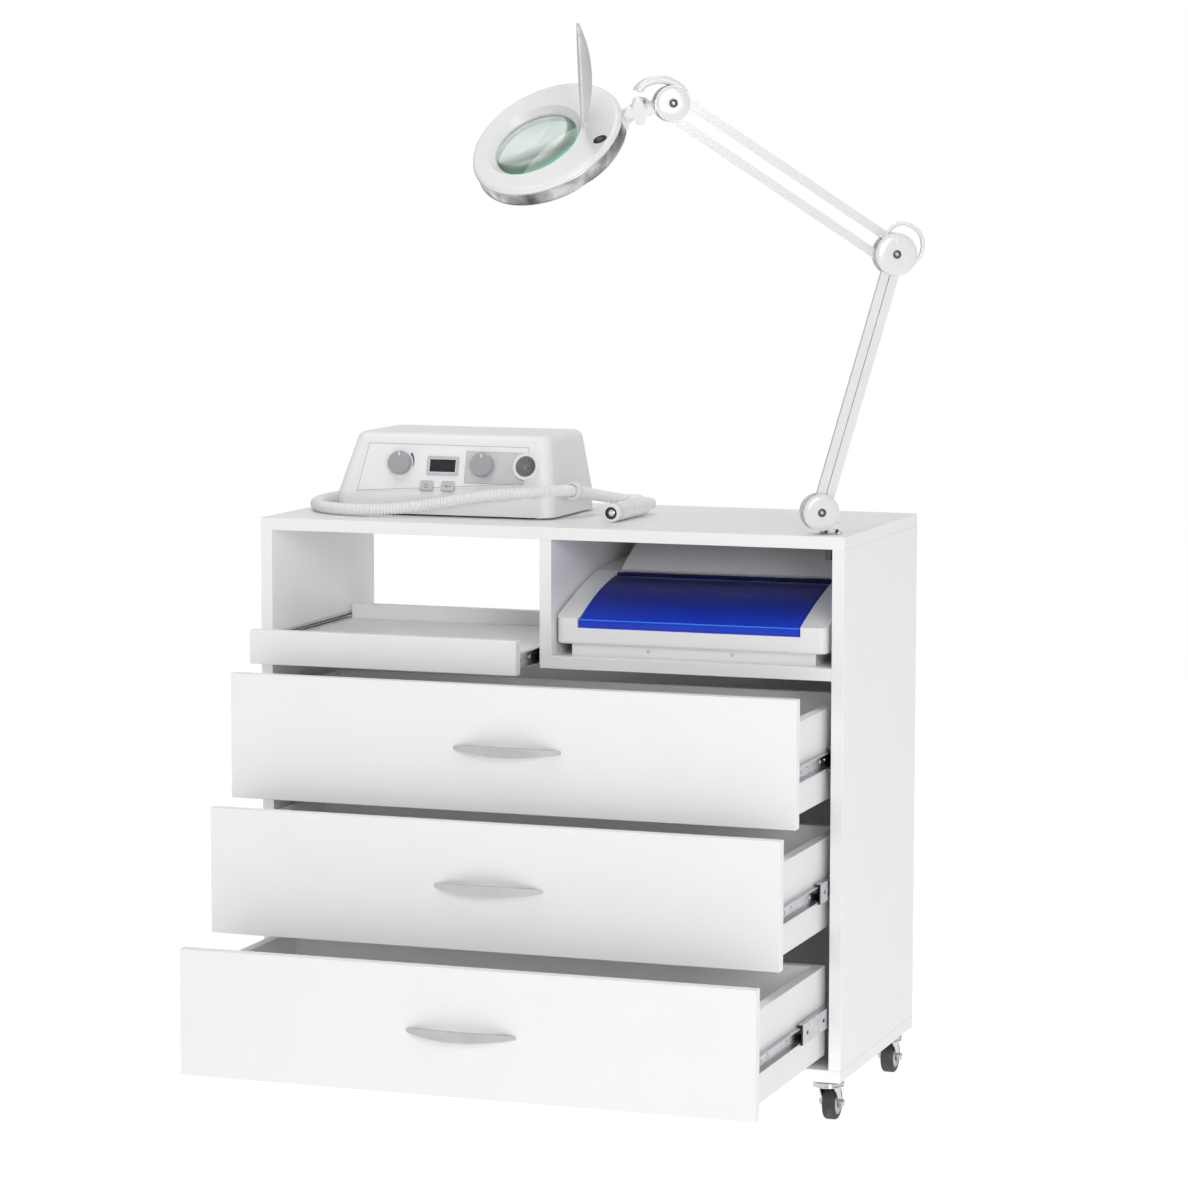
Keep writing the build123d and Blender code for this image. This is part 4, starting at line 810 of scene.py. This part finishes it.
def makeLamp():
    radius = lampLook["screwRadius"] / 1000
    for name, centre, body in (("base", baseCentre, "lamp_base"), ("elbow", elbowCentre, "lamp_elbow"),
                               ("wrist", wristCentre, "lamp_wrist")):
        place = axisFrame(inArms(centre, 0, 0, lampLook["screwOut"]), armAxis, armRight)
        shape = bmesh.new()
        lathe(shape, place, [(radius * 1.35, -0.0018), (radius * 1.3, 0.0001), (radius * 1.05, 0.0005),
                             (radius * 0.98, 0.0002)])
        lathe(shape, place, [(radius * 0.98, 0.0002), (radius * 0.95, 0.0009), (radius * 0.6, 0.0012)])
        lathe(shape, place, [(radius * 0.6, 0.0012), (radius * 0.56, -0.0006), (0.0, -0.0006)], turns=6)
        addPiece(name + "_screw", fromBmesh(name + "_screw", shape), finish("dark_steel"), body, 25)
        for side, out in (("front", 0.0), ("rear", 1.0)):
            discOut = -lampLook["screwOut"] + 1.5 if side == "rear" else lampLook["screwOut"] - 1.5
            edge = axisFrame(inArms(centre, 0, 0, discOut), armAxis * (1 if side == "front" else -1), armRight)
            size = {"base": 26.0, "elbow": 30.0, "wrist": 25.0}[name] / 1000
            lathePiece(name + "_" + side + "_cap", edge,
                       [(size + 0.0002, -0.0046), (size + 0.0004, -0.0020), (size - 0.0010, 0.0004),
                        (size - 0.0050, 0.0016), (size * 0.55, 0.0024), (radius * 1.6, 0.0022),
                        (radius * 1.4, 0.0012), (0.0, 0.0012)] if side == "rear" else
                       [(size + 0.0002, -0.0046), (size + 0.0004, -0.0020), (size - 0.0010, 0.0002),
                        (size - 0.0050, 0.0010), (size * 0.55, 0.0014), (radius * 1.5, 0.0012),
                        (radius * 1.4, 0.0002)], "lamp_enamel", body, turns=64, smooth=50)
    for name, out in (("front", 8.5), ("middle", 0.0), ("rear", -8.5)):
        spine = [inArms(wristCentre, x, z, out) for x, z in lampLook["wristArch"]]
        wires("wrist_arch_" + name, [spine], lampLook["archRadius"] / 1000, finish("lamp_enamel"), "lamp_wrist",
              order=3)
    loop = [inArms(elbowCentre, x, z) for x, z in lampLook["loop"]]
    wires("elbow_cable", [loop], lampLook["cable"] / 1000, finish("lamp_plastic"), "lamp_elbow",
          order=3)
    swivel = jointSpot("lamp_swivel")[0]
    lathePiece("pin_sleeve", axisFrame(swivel - Vector((0, 0, 0.0368)), (0, 0, 1)),
               [(0.0, 0.0), (0.0056, 0.0), (0.0064, 0.0008), (0.0064, 0.0182)], "dark_steel", "lamp_base")
    lathePiece("base_ring", axisFrame(swivel, (0, 0, 1)),
               [(0.0135, 0.0004), (0.0165, 0.0004), (0.0168, 0.0014), (0.0150, 0.0028), (0.0132, 0.0030)],
               "bright_steel", "lamp_base", turns=48)
    for i, turn in enumerate((-30, -100)):
        ahead = Vector((math.cos(math.radians(turn)), math.sin(math.radians(turn)), 0))
        spot = swivel + Vector((0, 0, 0.0052)) + ahead * 0.0128
        lathePiece("set_screw_" + str(i + 1), axisFrame(spot, ahead),
                   [(0.0026, -0.001), (0.0026, 0.0014), (0.0016, 0.0016), (0.0014, 0.0004), (0.0, 0.0004)],
                   "dark_steel", "lamp_base", turns=16)
    for name, spot in (("elbow_pin_high", upperMain), ("elbow_pin_low", upperSecond)):
        place = axisFrame(spot + armAxis * 0.0142, armAxis)
        lathePiece(name, place, [(0.0034, 0.0), (0.0034, 0.0009), (0.0026, 0.0014), (0.0, 0.0015)], "lamp_enamel",
                   "lamp_elbow", turns=20)


def makeHead():
    shift = -lampLook["lensShift"]
    seat = axisFrame(onHead(shift, 0, 0), headNormal, towardArm)
    lathePiece("lens_bezel", seat, [(0.0618, 0.0068), (0.0624, 0.0086), (0.0640, 0.0092), (0.0655, 0.0098)],
               "lens_ring", "magnifier_head", turns=96, smooth=50)
    # painted reflection and painted shade: the coloured light seen through the lens is tinted into the lens glass as
    # a crescent of dark and bright green rings, on the side away from the arm
    spot = onHead(shift + lampLook["paintedGlowShift"][0], lampLook["paintedGlowShift"][1], lampLook["lensHeight"])
    paintedCrescent(finishes["lens_glass"], spot, lampLook["paintedGlowRings"])
    # rocker marks on the switch and two beads round the band
    lo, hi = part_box("lamp_switch")
    middle = (lo + hi) / 2
    marks = [[middle + headNormal * 0.0034 + towardArm * (0.0035 * math.cos(a)) + headAxis * (0.0022 * math.sin(a))
              for a in [math.radians(30 * k) for k in range(12)]]]
    wires("switch_mark", marks, 0.0002, finish("hub_grey"), "lamp_switch", closed=True)
    groove = []
    for step in range(96):
        angle = 2 * math.pi * step / 96
        groove.append(onHead(111.9 * math.cos(angle), 111.9 * math.sin(angle), 10.2))
    wires("band_bead_high", [groove], 0.0007, finish("bright_steel"), "magnifier_head", closed=True)
    groove = []
    for step in range(96):
        angle = 2 * math.pi * step / 96
        groove.append(onHead(111.9 * math.cos(angle), 111.9 * math.sin(angle), -9.6))
    wires("band_bead_low", [groove], 0.0007, finish("bright_steel"), "magnifier_head", closed=True)


makeLamp()
makeHead()
print("lamp details made")

# runners: end caps, screws
runnerLook = {"capLength": 14.0, "screwRadius": 3.4}


def makeRunnerTrim():
    for name in ("drawer_1", "drawer_2", "drawer_3", "tray"):
        lo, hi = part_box(name + "_middle_runners")
        z = (lo.z + hi.z) / 2
        half = (hi.z - lo.z) / 2
        length = runnerLook["capLength"] / 1000
        y = lo.y + length / 2 - 0.0015
        boxes = []
        for wall, toward in ((lo.x - 0.0018, 1), (hi.x + 0.0018, -1)):
            boxes.append((Vector((wall + toward * 0.0028, y, z)), (0.0018, length, 2 * half - 0.0004)))
            for side in (-1, 1):
                boxes.append((Vector((wall + toward * 0.0062, y, z + side * (half - 0.0013))),
                              (0.0084, length, 0.0022)))
        boxesPiece(name + "_runner_caps", boxes, "black_plastic", name + "_middle")
        lo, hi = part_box(name + "_inner_runners")
        screws = bmesh.new()
        for wall, toward in ((lo.x, 1), (hi.x, -1)):
            outer = wall + toward * (0.0127 - 0.0041 - 0.0012)
            for back in (0.022, 0.060, 0.150):
                place = axisFrame((outer, lo.y + back, z), (-toward, 0, 0))
                radius = runnerLook["screwRadius"] / 1000
                lathe(screws, place, [(radius, -0.0002), (radius, 0.0006), (radius * 0.7, 0.0012),
                                      (radius * 0.35, 0.0013), (radius * 0.3, 0.0004), (0.0, 0.0004)], turns=20)
        levers = [(Vector((wall + toward * 0.0085, lo.y + 0.105, z + 0.0055)), (0.0016, 0.060, 0.0050))
                  for wall, toward in ((lo.x, 1), (hi.x, -1))]
        boxesPiece(name + "_runner_levers", levers, "black_plastic", name)
        addPiece(name + "_runner_screws", fromBmesh(name + "_runner_screws", screws), finish("bright_steel"), name)


makeRunnerTrim()
print("runner trim made")

# casters
casterLook = {"ringInner": 8.4, "ringOuter": 16.8, "halfWidth": 9.5}


def makeCasterTrim():
    for fore in ("front", "rear"):
        for hand in ("left", "right"):
            name = "caster_" + fore + "_" + hand
            hub = jointSpot(name + "_roll")[0]
            for side, label in ((-1, "inner"), (1, "outer")):
                place = axisFrame(hub, (side, 0, 0), (0, 0, 1))
                inner, outer = casterLook["ringInner"] / 1000, casterLook["ringOuter"] / 1000
                half = casterLook["halfWidth"] / 1000
                lathePiece(name + "_" + label + "_ring", place,
                           [(inner, half - 0.0014), (inner, half + 0.0004), (inner + 0.0016, half + 0.0007),
                            (inner + 0.0030, half - 0.0004), (outer - 0.0026, half - 0.0004),
                            (outer - 0.0012, half + 0.0006), (outer, half), (outer + 0.0001, half - 0.0014)],
                           "hub_grey", name + "_wheel", turns=48)
                cap = hub + Vector((side * 0.0169, 0, 0))
                lathePiece(name + "_" + label + "_nut", axisFrame(cap, (side, 0, 0), (0, 0, 1)),
                           [(0.0048, 0.0), (0.0048, 0.0012), (0.0040, 0.0020), (0.0, 0.0022)], "bright_steel",
                           name + "_fork", turns=6 if label == "outer" else 24, smooth=20)
            swivel = jointSpot(name + "_swivel")[0]
            place = axisFrame((swivel.x, swivel.y, 0), (0, 0, 1))
            lathePiece(name + "_race", place,
                       [(0.0218, 0.0534), (0.0229, 0.0540), (0.0230, 0.0552), (0.0222, 0.0560), (0.0221, 0.0572),
                        (0.0233, 0.0578), (0.0235, 0.0600), (0.0226, 0.0612), (0.0200, 0.0618)],
                       "caster_chrome", name + "_fork", turns=64, smooth=60)
            if fore == "front":
                lo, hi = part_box(name + "_brake")
                centre = Vector(((lo.x + hi.x) / 2, hi.y - 0.0035, (lo.z + hi.z) / 2 + 0.0002))
                boxes = [(centre, (0.0178, 0.0082, hi.z - lo.z + 0.0012))]
                for rib in (-1, 0, 1):
                    boxes.append((centre + Vector((0, rib * 0.0024, (hi.z - lo.z) / 2 + 0.0008)),
                                  (0.0160, 0.0009, 0.0010)))
                boxesPiece(name + "_pedal_tip", boxes, "black_plastic", name + "_brake", 0.0008)


makeCasterTrim()
print("caster trim made")

# steriliser: screws, wire tray and lamp tube
steriliserLook = {"screws": (137, 264), "wirePitch": 12.0, "wireRadius": 0.9}


def makeSteriliser():
    lo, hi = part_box("steriliser_body")
    for i, across in enumerate(steriliserLook["screws"]):
        place = axisFrame((lo.x + across / 1000, lo.y + 0.0138, lo.z + 0.010), (0, -1, 0))
        lathePiece("plinth_screw_" + str(i + 1), place, [(0.0026, -0.001), (0.0026, 0.0004), (0.0012, 0.0005),
                                                        (0.0008, -0.0006), (0.0, -0.0006)], "hub_grey", "cabinet",
                   turns=20)
    x0, x1, y0, y1, z = lo.x + 0.044, hi.x - 0.050, lo.y + 0.030, hi.y - 0.045, lo.z + 0.050
    runs = [[Vector((x0, y0, z)), Vector((x1, y0, z)), Vector((x1, y1, z)), Vector((x0, y1, z)), Vector((x0, y0, z))]]
    across = x0
    while across < x1:
        runs.append([Vector((across, y0, z)), Vector((across, y1, z))])
        across += steriliserLook["wirePitch"] / 1000
    wires("wire_tray", runs, steriliserLook["wireRadius"] / 1000, finish("bright_steel"), "cabinet")
    middle = Vector(((lo.x + hi.x) / 2, hi.y - 0.055, hi.z - 0.024))
    half = (hi.x - lo.x) / 2 - 0.058
    lathePiece("germ_tube", axisFrame(middle, (1, 0, 0)),
               [(0.0082, -half), (0.0086, -half + 0.004), (0.0086, half - 0.004), (0.0082, half)], "tube_glass",
               "cabinet", turns=32)
    low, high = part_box("steriliser_visor")
    # painted highlight: a bead of lighter blue along the visor's front lower edge
    lip = [Vector((x, low.y + 0.0016, low.z + 0.0105)) for x in (low.x + 0.003, high.x - 0.003)]
    wires("visor_lip_highlight", [lip], 0.0011, finish("visor_highlight_blue"), "steriliser_visor")


makeSteriliser()
print("steriliser details made")
